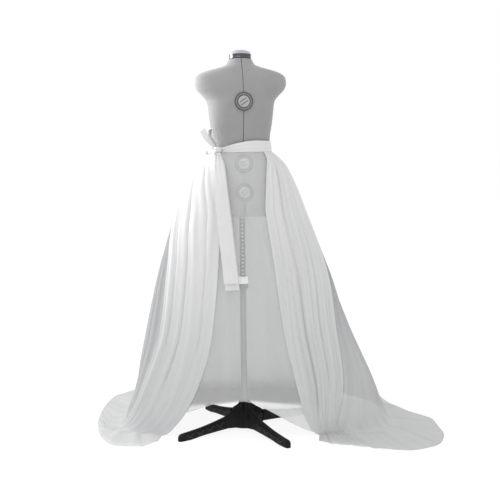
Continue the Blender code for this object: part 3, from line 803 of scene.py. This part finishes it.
class OVERSKIRT_OT_over_panels(bpy.types.Operator):
    """Hang the fuller panel of layers on each side of the front opening."""

    bl_idname = "overskirt.over_panels"
    bl_label = "Over panels"

    def execute(self, context):
        settings = context.scene.overskirt_tulle
        low = tuple(settings.low_colour)
        lengths = cloth_rows(120, LANDING + FLOOR_RUN)
        # Each side takes its own colour: painted light on the left panel, painted shade on the right.
        for side, first, last, creases, deep, colour in (
            ("left", -OUTER_COLUMN, -INNER_COLUMN, LEFT_CREASES, 0.24, settings.left_colour),
            ("right", INNER_COLUMN, OUTER_COLUMN, RIGHT_CREASES, 0.34, settings.right_colour),
        ):
            name, node = f"over_tulle_{side}", f"over_panel_{side}"
            material = tulle_finish(f"over tulle {side}", tuple(colour), low, settings.over_cover, 0.8)
            columns, down = panel_grid(first, last, 14, lengths)
            lift = np.interp(down, *zip(*OVER_LIFT))
            tucked = 0.8 - 0.35 * smooth(0.10, 0.26, down) - 0.45 * smooth(0.80, 1.15, down)
            tucked = tucked * smooth(-9.0, -INNER_COLUMN, columns) * (columns < 0)
            points = skirt_points(columns + tucked, down, Folds(deep, 0.10, creases), lift)
            chart = np.stack([columns + 100.0, down], axis=-1)
            piece = cloth(name, points, chart, material, [node], settings.wall)
        return {"FINISHED"}


# ---- sash
BAND_FOOT, BAND_HEIGHT, BAND_PINCHED, BAND_LEAN = 1.1903, 0.047, 0.014, 0.004
BAND_OPENING = math.radians(75)
RIBBON_WIDTH = 0.058
RIBBON_SEED = 5
TAIL_PRESSED = (0.62, 0.82)  # where creases cross the tails, as shares of their length
KNOT_CENTRE = Vector((-0.0930, -0.0905, 1.2005))
KNOT_RADII = (0.0160, 0.0120, 0.0135)


def band_points(turns, shares):
    """The waistband at these turns round from the knot and shares of its height."""
    bearing = KNOT_BEARING + turns
    left, right, front, back = SKIRT_CHART[0][2:6]
    across, ahead = np.sin(bearing), np.cos(bearing)
    x = across * np.where(across > 0, right, left)
    y = -ahead * np.where(ahead > 0, front, back)
    away = np.abs(np.arctan2(np.sin(turns), np.cos(turns)))
    opened = np.minimum(away / BAND_OPENING, 1.0)
    height = BAND_PINCHED + (BAND_HEIGHT - BAND_PINCHED) * np.sin(opened * math.pi / 2)
    side = np.where(np.sin(turns) > 0, 1.0, 0.6)
    pleats = 0.0013 * np.sin(2 * math.pi * (2.4 * shares + 0.25 * side + 0.10 * np.sin(2 * turns)))
    pleats = pleats * (0.45 + 0.9 * np.exp(-away / 0.7))
    pleats = pleats * smooth(0.0, 0.1, shares) * (1 - smooth(0.9, 1.0, shares))
    slack = 0.0006 * wander(71, turns * 5 + 40) * np.sin(math.pi * shares)
    out = 0.0008 - BAND_LEAN * opened * shares + pleats + slack
    growth = 1 + out / np.hypot(x, y)
    return np.stack([x * growth, y * growth, BAND_FOOT + height * shares], axis=-1) + PLACE


def ribbon_points(path, spread, widths, rows, columns, cup, creases, pressed=()):
    """A strip along a smooth path. Spread is the direction of its width. Pressed creases cross it."""
    marks = np.linspace(0, 1, len(path))
    reads = np.linspace(0, 1, rows)
    line = np.stack([along(marks, [p[k] for p in path], reads) for k in range(3)], axis=1)
    spread = np.array(Vector(spread).normalized())
    half = along(np.linspace(0, 1, len(widths)), widths, reads) / 2
    side = np.linspace(-1, 1, columns)
    bow = cup * (1 - side**2)
    points = line[:, None] + spread * (half[:, None] * side)[..., None]
    points = points + np.array((0.0, 1.0, 0.0)) * (np.ones(rows)[:, None] * bow)[..., None]
    normals = outward(points)
    gather = np.exp(-reads * 7)[:, None] + 0.4 * np.exp(-(1 - reads) * 9)[:, None]
    folds = creases * gather * np.sin(side * 9 + wander(RIBBON_SEED, reads * 6)[:, None] * 2)
    soft = 0.35 * creases * wander(RIBBON_SEED + 1, reads * 9)[:, None] * np.sin(side * 4 + 1.3)
    across = sum(np.exp(-(((reads[:, None] - at + 0.012 * side) / 0.010) ** 2)) for at in pressed)
    return points + normals * (folds + soft - 0.0016 * across)[..., None] + PLACE


UPPER_LOOP = (
    (-0.1010, -0.0960, 1.2140),
    (-0.1140, -0.0980, 1.2340),
    (-0.1270, -0.0980, 1.2580),
    (-0.1250, -0.0960, 1.2820),
    (-0.1130, -0.0950, 1.2860),
    (-0.1040, -0.0950, 1.2660),
    (-0.0980, -0.0955, 1.2380),
    (-0.0950, -0.0960, 1.2140),
)
SIDE_LOOP = (
    (-0.1090, -0.1000, 1.2110),
    (-0.1270, -0.1040, 1.2330),
    (-0.1460, -0.1060, 1.2600),
    (-0.1580, -0.1060, 1.2820),
)
LOWER_LOOP = (
    (-0.1105, -0.0950, 1.2030),
    (-0.1230, -0.0990, 1.2060),
    (-0.1370, -0.1010, 1.2000),
    (-0.1410, -0.1010, 1.1900),
    (-0.1340, -0.1010, 1.1830),
    (-0.1210, -0.1000, 1.1860),
    (-0.1100, -0.0970, 1.1950),
)
FRONT_TAIL = (
    (-0.0960, -0.1120, 1.1850),
    (-0.0910, -0.1390, 1.1300),
    (-0.0850, -0.1600, 1.0500),
    (-0.0730, -0.1730, 0.9360),
    (-0.0590, -0.1790, 0.8000),
    (-0.0450, -0.1800, 0.6550),
)
REAR_TAIL = (
    (-0.0930, -0.1060, 1.1850),
    (-0.0870, -0.1300, 1.1300),
    (-0.0810, -0.1510, 1.0500),
    (-0.0690, -0.1640, 0.9360),
    (-0.0550, -0.1690, 0.8000),
    (-0.0410, -0.1700, 0.6280),
)


# Bow loops: piece, path, direction of the width, widths, rows, columns and depth of the creases.
BOW_LOOPS = (
    ("bow_upper", UPPER_LOOP, (0.40, 1.0, 0.15), (0.020, 0.032, 0.036, 0.032, 0.020), 70, 13, 0.0012),
    ("bow_side", SIDE_LOOP, (0.59, -0.38, 0.345), (0.014, 0.026, 0.030), 40, 13, 0.0012),
    ("bow_lower", LOWER_LOOP, (0.10, 1.0, 0.25), (0.014, 0.022, 0.026, 0.022, 0.014), 60, 11, 0.0009),
)
# Tails: piece, path, direction of the width, widths and depth of the creases.
TAILS = (
    ("tail_front", FRONT_TAIL, (1.0, -0.05, 0.03), (0.024, 0.048, 0.054, 0.056, 0.058, 0.060), 0.0035),
    ("tail_rear", REAR_TAIL, (1.0, -0.05, 0.06), (0.020, 0.044, 0.050, 0.053, 0.056, 0.058), 0.0030),
)
TAIL_ROWS, TAIL_COLUMNS = 120, 25
TAIL_CUP = -0.003  # how far the middle of a tail stands out


def path_length(path):
    return sum((Vector(b) - Vector(a)).length for a, b in zip(path, path[1:]))


class OVERSKIRT_OT_sash(bpy.types.Operator):
    """Wrap the satin band round the waist and tie its bow and tails."""

    bl_idname = "overskirt.sash"
    bl_label = "Sash and bow"

    def execute(self, context):
        settings = context.scene.overskirt_sash
        satin = satin_finish(tuple(settings.colour))
        turns, shares = np.meshgrid(np.linspace(0.02, 2 * math.pi - 0.02, 241), np.linspace(1, 0, 25))
        points = band_points(turns, shares)
        chart = np.stack([turns * 0.02, shares * 0.05], axis=-1)[..., ::-1]
        band = cloth("sash_band_satin", points, chart, satin, ["sash_band"], settings.wall)
        for name, path, spread, widths, rows, columns, depth in BOW_LOOPS:
            points = ribbon_points(path, spread, widths, rows, columns, 0.0, depth)
            self.hang(name, name.replace("bow", "bow_loop"), points, path, widths, satin, settings.wall)
        for name, path, spread, widths, depth in TAILS:
            points = ribbon_points(
                path, spread, widths, TAIL_ROWS, TAIL_COLUMNS, TAIL_CUP, depth, TAIL_PRESSED
            )
            self.hang(name, f"sash_{name}", points, path, widths, satin, settings.wall)
        self.tie_knot(satin)
        return {"FINISHED"}

    def hang(self, name, node, points, path, widths, satin, wall):
        rows, columns = points.shape[:2]
        length = path_length(path)
        across, down = np.meshgrid(np.linspace(0, RIBBON_WIDTH, columns), np.linspace(0, length, rows))
        chart = np.stack([across, down], axis=-1)
        piece = cloth(name, points, chart, satin, [node], wall)

    def tie_knot(self, satin):
        shape = bmesh.new()
        bmesh.ops.create_uvsphere(shape, u_segments=56, v_segments=36, radius=1.0)
        for corner in shape.verts:
            turn = math.atan2(corner.co.y, corner.co.x)
            wrap = 0.07 * math.sin(5 * turn + 3.5 * corner.co.z) * (1 - abs(corner.co.z)) ** 0.5
            pull = 1.0 + wrap - 0.12 * math.exp(-((corner.co.z / 0.25) ** 2)) * math.cos(turn) ** 2
            corner.co.x *= pull
            corner.co.y *= pull
        bmesh.ops.scale(shape, vec=KNOT_RADII, verts=shape.verts[:])
        bmesh.ops.translate(shape, vec=KNOT_CENTRE + Vector(PLACE), verts=shape.verts[:])
        knot = finished("sash_knot_satin", shape, satin, ["sash_knot"])
        layer = knot.data.uv_layers.new(name="Cloth")
        for loop in knot.data.loops:
            co = knot.data.vertices[loop.vertex_index].co
            layer.data[loop.index].uv = (co.x, co.z)


# ---- dress form
SEAM_DENTS = ((0.25, 0.0012), (0.5, 0.0035), (0.75, 0.0012))  # share of the way round, depth
NECK_RING = (
    (0.0, 1.5772),
    (0.0455, 1.5772),
    (0.0465, 1.5785),
    (0.0466, 1.5815),
    (0.0458, 1.5830),
    (0.0456, 1.5900),
    (0.0462, 1.5925),
    (0.0458, 1.5955),
    (0.0, 1.5960),
)
NECK_DOME = (
    (0.0, 1.5963),
    (0.0452, 1.5963),
    (0.0450, 1.5990),
    (0.0425, 1.6040),
    (0.0370, 1.6085),
    (0.0290, 1.6120),
    (0.0190, 1.6145),
    (0.0090, 1.6158),
    (0.0, 1.6162),
)
DIAL_RADIUS = 0.037
DIAL_RING = (
    (0.0, 0.0),
    (DIAL_RADIUS, 0.0),
    (0.0372, 0.0016),
    (0.0364, 0.0034),
    (0.0352, 0.0038),
    (0.0342, 0.0030),
    (0.0340, 0.0008),
    (0.0, 0.0008),
)
DIAL_FACE = (
    (0.0, 0.0009),
    (0.0338, 0.0009),
    (0.0336, 0.0022),
    (0.0290, 0.0027),
    (0.0268, 0.0022),
    (0.0, 0.0022),
)
DIAL_INNER = (
    (0.0235, 0.0023),
    (0.0266, 0.0023),
    (0.0264, 0.0034),
    (0.0252, 0.0038),
    (0.0240, 0.0034),
    (0.0235, 0.0023),
)
DIAL_DISC = ((0.0, 0.0024), (0.0233, 0.0024), (0.0230, 0.0032), (0.0215, 0.0034), (0.0, 0.0030))
# Raised bar, and thin dark strips beside it that paint the shade of its slots: how far off the middle, then
# length, width and height.
DIAL_BARS = (
    ("grip", 0.0, (0.040, 0.0080, 0.0030)),
    ("notch", 0.0066, (0.032, 0.0024, 0.0012)),
    ("groove", -0.0066, (0.032, 0.0024, 0.0012)),
)
DIAL_BAR_HEIGHT = 0.0036


def form_reach(height):
    """How far the form's front stands ahead of the pole at a height."""
    return float(column_of(FORM_SECTIONS, 2, height))


def form_columns():
    """Turns round the form, closer together at the side and back seams."""
    even = np.linspace(0, 1, 190)
    beside = (0.0, 0.0010, 0.0022, 0.005, 0.010)
    extra = [seam + way * step for seam, _ in SEAM_DENTS for step in beside for way in (-1, 1)]
    return np.unique(np.round(np.concatenate([even, extra]), 5))


class OVERSKIRT_OT_form(bpy.types.Operator):
    """Pad the adjustable form, with its neck and its dials."""

    bl_idname = "overskirt.form"
    bl_label = "Dress form"

    def execute(self, context):
        settings = context.scene.overskirt_form
        self.pad_torso(settings)
        self.fit_neck()
        self.fit_dials()
        return {"FINISHED"}

    def pad_torso(self, settings):
        heights = np.concatenate([[0.922, 0.9235, 0.927], np.linspace(0.933, 1.5745, 130), [1.5765]])
        inset = np.concatenate([[0.005, 0.0015, 0.0003], np.zeros(130), [0.001]])
        share = form_columns()
        rows = []
        for z, drawn_in in zip(heights, inset):
            half, front, back, square = readings(FORM_SECTIONS, z)
            power = 2 / square
            notch = 1 - float(smooth(0.922, 0.985, z))
            width = settings.slot / 2 + 0.0115 * notch**1.2
            depth = 0.006 + 0.032 * float(smooth(0.0, 0.4, notch))
            edge = math.asin(min((width / half) ** (1 / power), 1.0))
            turn = edge + (2 * math.pi - 2 * edge) * share
            across, ahead = np.sin(turn), np.cos(turn)
            seam = np.zeros_like(share)
            for at, how_deep in SEAM_DENTS:
                seam += how_deep * np.exp(-(((share - at) / 0.0016) ** 2))
            pull = seam + drawn_in
            lip = 0.0012 * (np.exp(-share / 0.004) + np.exp(-(1 - share) / 0.004))
            x = (half - pull) * np.sign(across) * np.abs(across) ** power
            y = -np.sign(ahead) * np.abs(ahead) ** power * (np.where(ahead > 0, front, back) - pull - lip)
            y0 = float(y[0])
            ring = np.stack([x, y, np.full_like(x, z)], axis=-1)
            inner = [(width * 0.97, y0 + depth, z)], [(-width * 0.97, y0 + depth, z)]
            rows.append(np.concatenate([inner[0], ring, inner[1], inner[0]]))
        points = np.array(rows[::-1])
        count, columns = points.shape[:2]
        shape = bmesh.new()
        bmesh.ops.create_grid(shape, x_segments=columns - 1, y_segments=count - 1, size=1.0)
        for corner in shape.verts:
            column = round((corner.co.x + 1) / 2 * (columns - 1))
            row = round((1 - corner.co.y) / 2 * (count - 1))
            corner.co = points[row, column]
        bmesh.ops.remove_doubles(shape, verts=shape.verts[:], dist=1e-5)
        rims = [edge for edge in shape.edges if edge.is_boundary]
        bmesh.ops.holes_fill(shape, edges=rims, sides=0)
        bmesh.ops.recalc_face_normals(shape, faces=shape.faces[:])
        turn = Matrix.Translation(PLACE) @ Matrix.Rotation(FORM_TURN, 4, "Z")
        bmesh.ops.transform(shape, matrix=turn, verts=shape.verts[:])
        jersey = jersey_finish(tuple(settings.fabric))
        finished("form_padding", shape, jersey, ["form_torso"], False)

    def fit_neck(self):
        place = Matrix.Translation(PLACE)
        chrome = moulded_finish("neck chrome", (0.09, 0.095, 0.105), 0.16, 500.0, 0.0001, 1.0)
        finished("neck_ring", turned(NECK_RING, 96, place), chrome, ["neck_band"], False)
        pale = moulded_finish("cap plastic", (0.37, 0.40, 0.43), 0.35, 300.0)
        finished("neck_dome", turned(NECK_DOME, 96, place), pale, ["neck_cap"], False)

    def fit_dials(self):
        dark = moulded_finish("dial edge", (0.07, 0.07, 0.07), 0.45)
        grey = moulded_finish("dial face", (0.19, 0.19, 0.19), 0.5)
        pale = moulded_finish("dial eye", (0.40, 0.40, 0.40), 0.4)
        turn = Matrix.Translation(PLACE) @ Matrix.Rotation(FORM_TURN, 4, "Z")
        for number, height in enumerate(DIAL_HEIGHTS, 1):
            steps = np.linspace(-DIAL_RADIUS, DIAL_RADIUS, 9)
            fronts = np.array([form_reach(height + step) for step in steps])
            slope = (fronts[0] - fronts[-1]) / (2 * DIAL_RADIUS)
            reach = float((fronts + slope * steps).max()) + 0.0003
            lean = Matrix.Rotation(math.pi / 2 - math.atan(slope), 4, "X")
            place = turn @ Matrix.Translation((0, -reach, height)) @ lean
            self.fit_dial(number, place, dark, grey, pale)

    def fit_dial(self, number, place, dark, grey, pale):
        for name, profile, finish, slot_name, nodes in (
            ("ring", DIAL_RING, dark, "dial_plastic", [f"dial_rim_{number}"]),
            ("face", DIAL_FACE, grey, "dial_plastic", []),
            ("inner", DIAL_INNER, dark, "dial_plastic", []),
            ("disc", DIAL_DISC, pale, "dial_eye", [f"dial_eye_{number}"]),
        ):
            finished(f"dial_{name}_{number}", turned(profile, 96, place), finish, nodes, False)
        swing = place @ Matrix.Rotation(DIAL_SWINGS[number - 1], 4, "Z")
        for name, across, size in DIAL_BARS:
            bar = bmesh.new()
            bmesh.ops.create_cube(bar, size=1.0)
            bmesh.ops.scale(bar, vec=size, verts=bar.verts[:])
            bmesh.ops.translate(bar, vec=(0, -across, DIAL_BAR_HEIGHT), verts=bar.verts[:])
            bmesh.ops.bevel(
                bar, geom=bar.edges[:], offset=0.0006, segments=3, affect="EDGES", profile=0.5, material=-1
            )
            bmesh.ops.transform(bar, matrix=swing, verts=bar.verts[:])
            # The strips beside the grip take the dark finish: painted shade of the slots.
            finish, slot_name = (pale, "dial_eye") if name == "grip" else (dark, "dial_plastic")
            finished(f"dial_{name}_{number}", bar, finish, (), False)


# ---- stand
# Hub: height, reach between two legs, reach towards a leg.
HUB_SECTIONS = (
    (0.014, 0.066, 0.100),
    (0.050, 0.062, 0.100),
    (0.066, 0.048, 0.090),
    (0.084, 0.034, 0.062),
    (0.102, 0.026, 0.038),
    (0.117, 0.0235, 0.0235),
)
# Leg: distance from the axis, underside, top, half width.
LEG_SECTIONS = (
    (0.085, 0.0160, 0.0630, 0.0185),
    (0.150, 0.0120, 0.0490, 0.0160),
    (0.220, 0.0070, 0.0370, 0.0145),
    (0.285, 0.0000, 0.0300, 0.0135),
    (0.312, 0.0000, 0.0275, 0.0130),
    (0.324, 0.0000, 0.0210, 0.0100),
    (0.328, 0.0000, 0.0115, 0.0055),
)
# Profiles of the pole's parts, as radius and height.
LOWER_TUBE = ((0, 0.1173), (0.0135, 0.1173), (0.0135, 0.6062), (0.0130, 0.6067), (0, 0.6067))
CUP_RING = (
    (0, 0.607),
    (0.0150, 0.607),
    (0.0175, 0.6085),
    (0.0215, 0.6140),
    (0.0225, 0.6190),
    (0.0225, 0.6327),
    (0, 0.6327),
)
COLLAR_RING = (
    (0, 0.6330),
    (0.0222, 0.6330),
    (0.0228, 0.6340),
    (0.0228, 0.6405),
    (0.0220, 0.6415),
    (0.0220, 0.6530),
    (0.0226, 0.6540),
    (0.0226, 0.6610),
    (0.0215, 0.6628),
    (0, 0.6630),
)
UPPER_TUBE = ((0, 0.6633), (0.0120, 0.6633), (0.0120, 0.9217), (0, 0.9217))


class OVERSKIRT_OT_stand(bpy.types.Operator):
    """Stand the form on its telescopic pole and moulded base."""

    bl_idname = "overskirt.stand"
    bl_label = "Pole and base"

    def execute(self, context):
        settings = context.scene.overskirt_stand
        self.raise_pole(settings)
        self.mould_base(settings)
        return {"FINISHED"}

    def raise_pole(self, settings):
        place = Matrix.Translation(PLACE)
        steel = moulded_finish("lower pole", (0.20, 0.21, 0.21), 0.42, 400.0, 0.0001, 0.5)
        cup = moulded_finish("cup plastic", (0.11, 0.11, 0.11), 0.5)
        # The collar glows a little, painted light, so it reads white in the shade inside the skirt.
        collar = moulded_finish("collar plastic", (0.92, 0.92, 0.92), 0.45, glow=0.30)
        scaled = scaled_pole_finish(settings.mark_step)
        for name, profile, finish, slot_name, node in (
            ("lower_tube", LOWER_TUBE, steel, "pole_steel", "pole_lower"),
            ("cup_ring", CUP_RING, cup, "cup_plastic", "pole_cup"),
            ("collar_ring", COLLAR_RING, collar, "collar_plastic", "pole_collar"),
            ("upper_tube", UPPER_TUBE, scaled, "pole_steel", "pole_upper"),
        ):
            finished(name, turned(profile, 64, place), finish, [node], False)

    def mould_base(self, settings):
        black = moulded_finish("base moulding", tuple(settings.base_colour), 0.5, 260.0, 0.0004, 0.0, 0.15)
        # The ribs take a lighter finish than the moulding: a painted highlight.
        rib_highlight = moulded_finish("base ribs", tuple(settings.rib_colour), 0.45, 260.0, 0.0004, 0.0, 0.15)
        sides = 144
        heights = np.linspace(0.014, 0.117, 34)
        rings = []
        for z in heights:
            waist, lobe = readings(HUB_SECTIONS, z)
            ring = []
            for k in range(sides):
                turned_by = 2 * math.pi * k / sides
                on_leg = max(math.cos(4 * turned_by), 0.0) ** 1.5
                between = max(-math.cos(4 * turned_by), 0.0)
                flute = 0.0014 * between * math.cos(44 * turned_by)
                radius = waist + (lobe - waist) * on_leg + flute - 0.0012 * between
                angle = FIRST_LEG + turned_by
                corner = Vector((radius * math.cos(angle), radius * math.sin(angle), z))
                ring.append(corner + Vector(PLACE))
            rings.append(ring)
        finished("hub_moulding", rings_to_solid(rings), black, ["base_hub"], False)
        for number, side in enumerate(("front_right", "back_right", "back_left", "front_left")):
            turn = Matrix.Translation(PLACE) @ Matrix.Rotation(FIRST_LEG + number * math.pi / 2, 4, "Z")
            self.mould_leg(side, turn, black, rib_highlight)

    def mould_leg(self, side, turn, black, rib_highlight):
        stations = np.concatenate([np.linspace(0.088, 0.312, 36), [0.317, 0.321, 0.324, 0.3265, 0.328]])
        rings = []
        for reach in stations:
            low, high, half = readings(LEG_SECTIONS, reach)
            round_off = half * 0.45
            corners = [(-half, low + 0.001), (-half + 0.001, low), (half - 0.001, low), (half, low + 0.001)]
            arc = [math.radians(d) for d in (0, 22, 45, 68, 90)]
            rounding = [(round_off * math.cos(a), round_off * math.sin(a)) for a in arc]
            corners += [(half - round_off + out, high - round_off + up) for out, up in rounding]
            corners += [(round_off - half - out, high - round_off + up) for out, up in rounding[::-1]]
            rings.append([turn @ Vector((reach, y, z)) for y, z in corners])
        shape = rings_to_solid(rings)
        # Crossed ribs stand out from both sides of the leg.
        for start in np.linspace(0.118, 0.262, 4):
            for lean in (1, -1):
                for wall in (1, -1):
                    self.add_rib(shape, turn, start, 0.036, lean, wall)
        leg = finished(f"leg_{side}", shape, black, [f"base_leg_{side}"], False)
        leg.data.materials.append(rib_highlight)

    def add_rib(self, shape, turn, start, run, lean, wall):
        low0, high0, half0 = readings(LEG_SECTIONS, start)
        low1, high1, half1 = readings(LEG_SECTIONS, start + run)
        first = (start, half0, low0 + 0.003) if lean > 0 else (start, half0, high0 - 0.45 * half0)
        last = (start + run, half1, high1 - 0.45 * half1) if lean > 0 else (start + run, half1, low1 + 0.003)
        a, b = Vector((first[0], wall * first[1], first[2])), Vector((last[0], wall * last[1], last[2]))
        rib = bmesh.ops.create_cube(shape, size=1.0)["verts"]
        bmesh.ops.scale(shape, vec=((b - a).length, 0.0030, 0.0032), verts=rib)
        aim = (b - a).to_track_quat("X", "Z").to_matrix().to_4x4()
        place = turn @ Matrix.Translation((a + b) / 2) @ aim
        bmesh.ops.transform(shape, matrix=place, verts=rib)
        for face in {face for corner in rib for face in corner.link_faces}:
            face.material_index = 1


# ---- stage
CAMERA_PITCH, CAMERA_ROLL = math.radians(5.53), math.radians(-0.66)
CAMERA_FROM_POLE = (0.032, -3.277, 1.094)
CAMERA_LENS = 55.37
SHADOW_GAP = 0.36  # how far behind the pole the floor's painted shadow patch starts


def stage_axes():
    """Right, up and forward of the camera, which is tilted down and a hair to one side."""
    pitch, roll = CAMERA_PITCH, CAMERA_ROLL
    forward = Vector((0, math.cos(pitch), -math.sin(pitch)))
    right = Vector((1, 0, 0))
    up = right.cross(forward)
    across = right * math.cos(roll) + up * math.sin(roll)
    return across, up * math.cos(roll) - right * math.sin(roll), forward


class OVERSKIRT_OT_stage(bpy.types.Operator):
    """Lay the pale floor, set the soft lights and place the camera."""

    bl_idname = "overskirt.stage"
    bl_label = "Stage"

    def execute(self, context):
        settings = context.scene.overskirt_stage
        scene = context.scene
        shape = bmesh.new()
        bmesh.ops.create_grid(shape, x_segments=1, y_segments=1, size=30.0)
        mesh = bpy.data.meshes.new("floor")
        shape.to_mesh(mesh)
        shape.free()
        floor = bpy.data.objects.new("floor", mesh)
        floor.location.z = -0.0005
        finish = Finish(
            "floor paper",
            (0.14, 0.14, 0.14),
            0.9,
            Specular_IOR_Level=0.05,
            Emission_Color=(1.0, 1.0, 1.0, 1.0),
            Emission_Strength=0.88,
        )
        x, y, _ = finish.split(finish.place())
        # A painted shadow: the floor glows less in a patch under the train, which keeps the skirt's inside
        # grey.
        behind = y - (POLE.y + SHADOW_GAP) + 0.35 * abs(x - POLE.x)
        painted_shadow = behind.clipped(0.0, 0.07) * (1.0 - behind.clipped(0.30, 0.50))
        painted_shadow = painted_shadow * (1.0 - abs(x - POLE.x).clipped(0.30, 0.50))
        # the dark glow colour in the patch is the painted shadow
        glow = finish.colours(painted_shadow, (1.0, 1.0, 1.0), (0.10, 0.10, 0.10))
        mesh.materials.append(finish.feed(Emission_Color=glow))
        scene.collection.objects.link(floor)

        world = bpy.data.worlds.new("white surround")
        world.use_nodes = True
        back = world.node_tree.nodes["Background"]
        back.inputs["Color"].default_value = (1.0, 1.0, 1.0, 1.0)
        back.inputs["Strength"].default_value = settings.sky
        scene.world = world
        for name, place, size, power in (
            ("key", (-1.20, 0.05, 1.75), 0.7, settings.key_power),
            ("top", (-0.9, -2.2, 3.0), 2.0, settings.key_power * 0.6),
        ):
            data = bpy.data.lights.new(name, "AREA")
            data.shape = "SQUARE"
            data.size = size
            data.energy = power
            lamp = bpy.data.objects.new(name, data)
            target = Vector((POLE.x, POLE.y, 1.25))
            lamp.location = place
            lamp.rotation_euler = (target - Vector(place)).to_track_quat("-Z", "Y").to_euler()
            lamp.visible_camera = False
            scene.collection.objects.link(lamp)

        data = bpy.data.cameras.new("view")
        data.sensor_width = 36.0
        data.lens = CAMERA_LENS
        camera = bpy.data.objects.new("view", data)
        across, up, forward = stage_axes()
        rotation = Matrix((across, up, -forward)).transposed()
        right, ahead, high = CAMERA_FROM_POLE
        place = Vector((right + POLE.x, ahead + POLE.y, high))
        camera.matrix_world = Matrix.Translation(place) @ rotation.to_4x4()
        scene.collection.objects.link(camera)
        scene.camera = camera
        scene.view_settings.view_transform = "Standard"
        return {"FINISHED"}


class OVERSKIRT_PT_panel(bpy.types.Panel):
    """The overskirt's settings and pieces, in the 3D view's sidebar."""

    bl_idname = "OVERSKIRT_PT_panel"
    bl_label = "Tulle Overskirt"
    bl_space_type = "VIEW_3D"
    bl_region_type = "UI"
    bl_category = "Overskirt"

    def draw(self, context):
        scene = context.scene
        for attribute, settings, operators in SETTINGS:
            box = self.layout.box()
            for name in settings.__annotations__:
                box.prop(getattr(scene, attribute), name)
            for operator in operators:
                box.operator(operator)


CLASSES = (
    TulleSettings,
    SashSettings,
    FormSettings,
    StandSettings,
    StageSettings,
    OVERSKIRT_OT_under_panels,
    OVERSKIRT_OT_over_panels,
    OVERSKIRT_OT_sash,
    OVERSKIRT_OT_form,
    OVERSKIRT_OT_stand,
    OVERSKIRT_OT_stage,
    OVERSKIRT_PT_panel,
)
SETTINGS = (
    ("overskirt_tulle", TulleSettings, ("overskirt.under_panels", "overskirt.over_panels")),
    ("overskirt_sash", SashSettings, ("overskirt.sash",)),
    ("overskirt_form", FormSettings, ("overskirt.form",)),
    ("overskirt_stand", StandSettings, ("overskirt.stand",)),
    ("overskirt_stage", StageSettings, ("overskirt.stage",)),
)


def register():
    for item in CLASSES:
        bpy.utils.register_class(item)
    for name, group, _ in SETTINGS:
        setattr(bpy.types.Scene, name, bpy.props.PointerProperty(type=group))


def unregister():
    for name, _, _ in SETTINGS:
        delattr(bpy.types.Scene, name)
    for item in reversed(CLASSES):
        bpy.utils.unregister_class(item)


def main():
    register()
    bpy.ops.overskirt.stage()
    bpy.ops.overskirt.under_panels()
    bpy.ops.overskirt.over_panels()
    bpy.ops.overskirt.sash()
    bpy.ops.overskirt.form()
    bpy.ops.overskirt.stand()


if __name__ == "__main__":
    main()
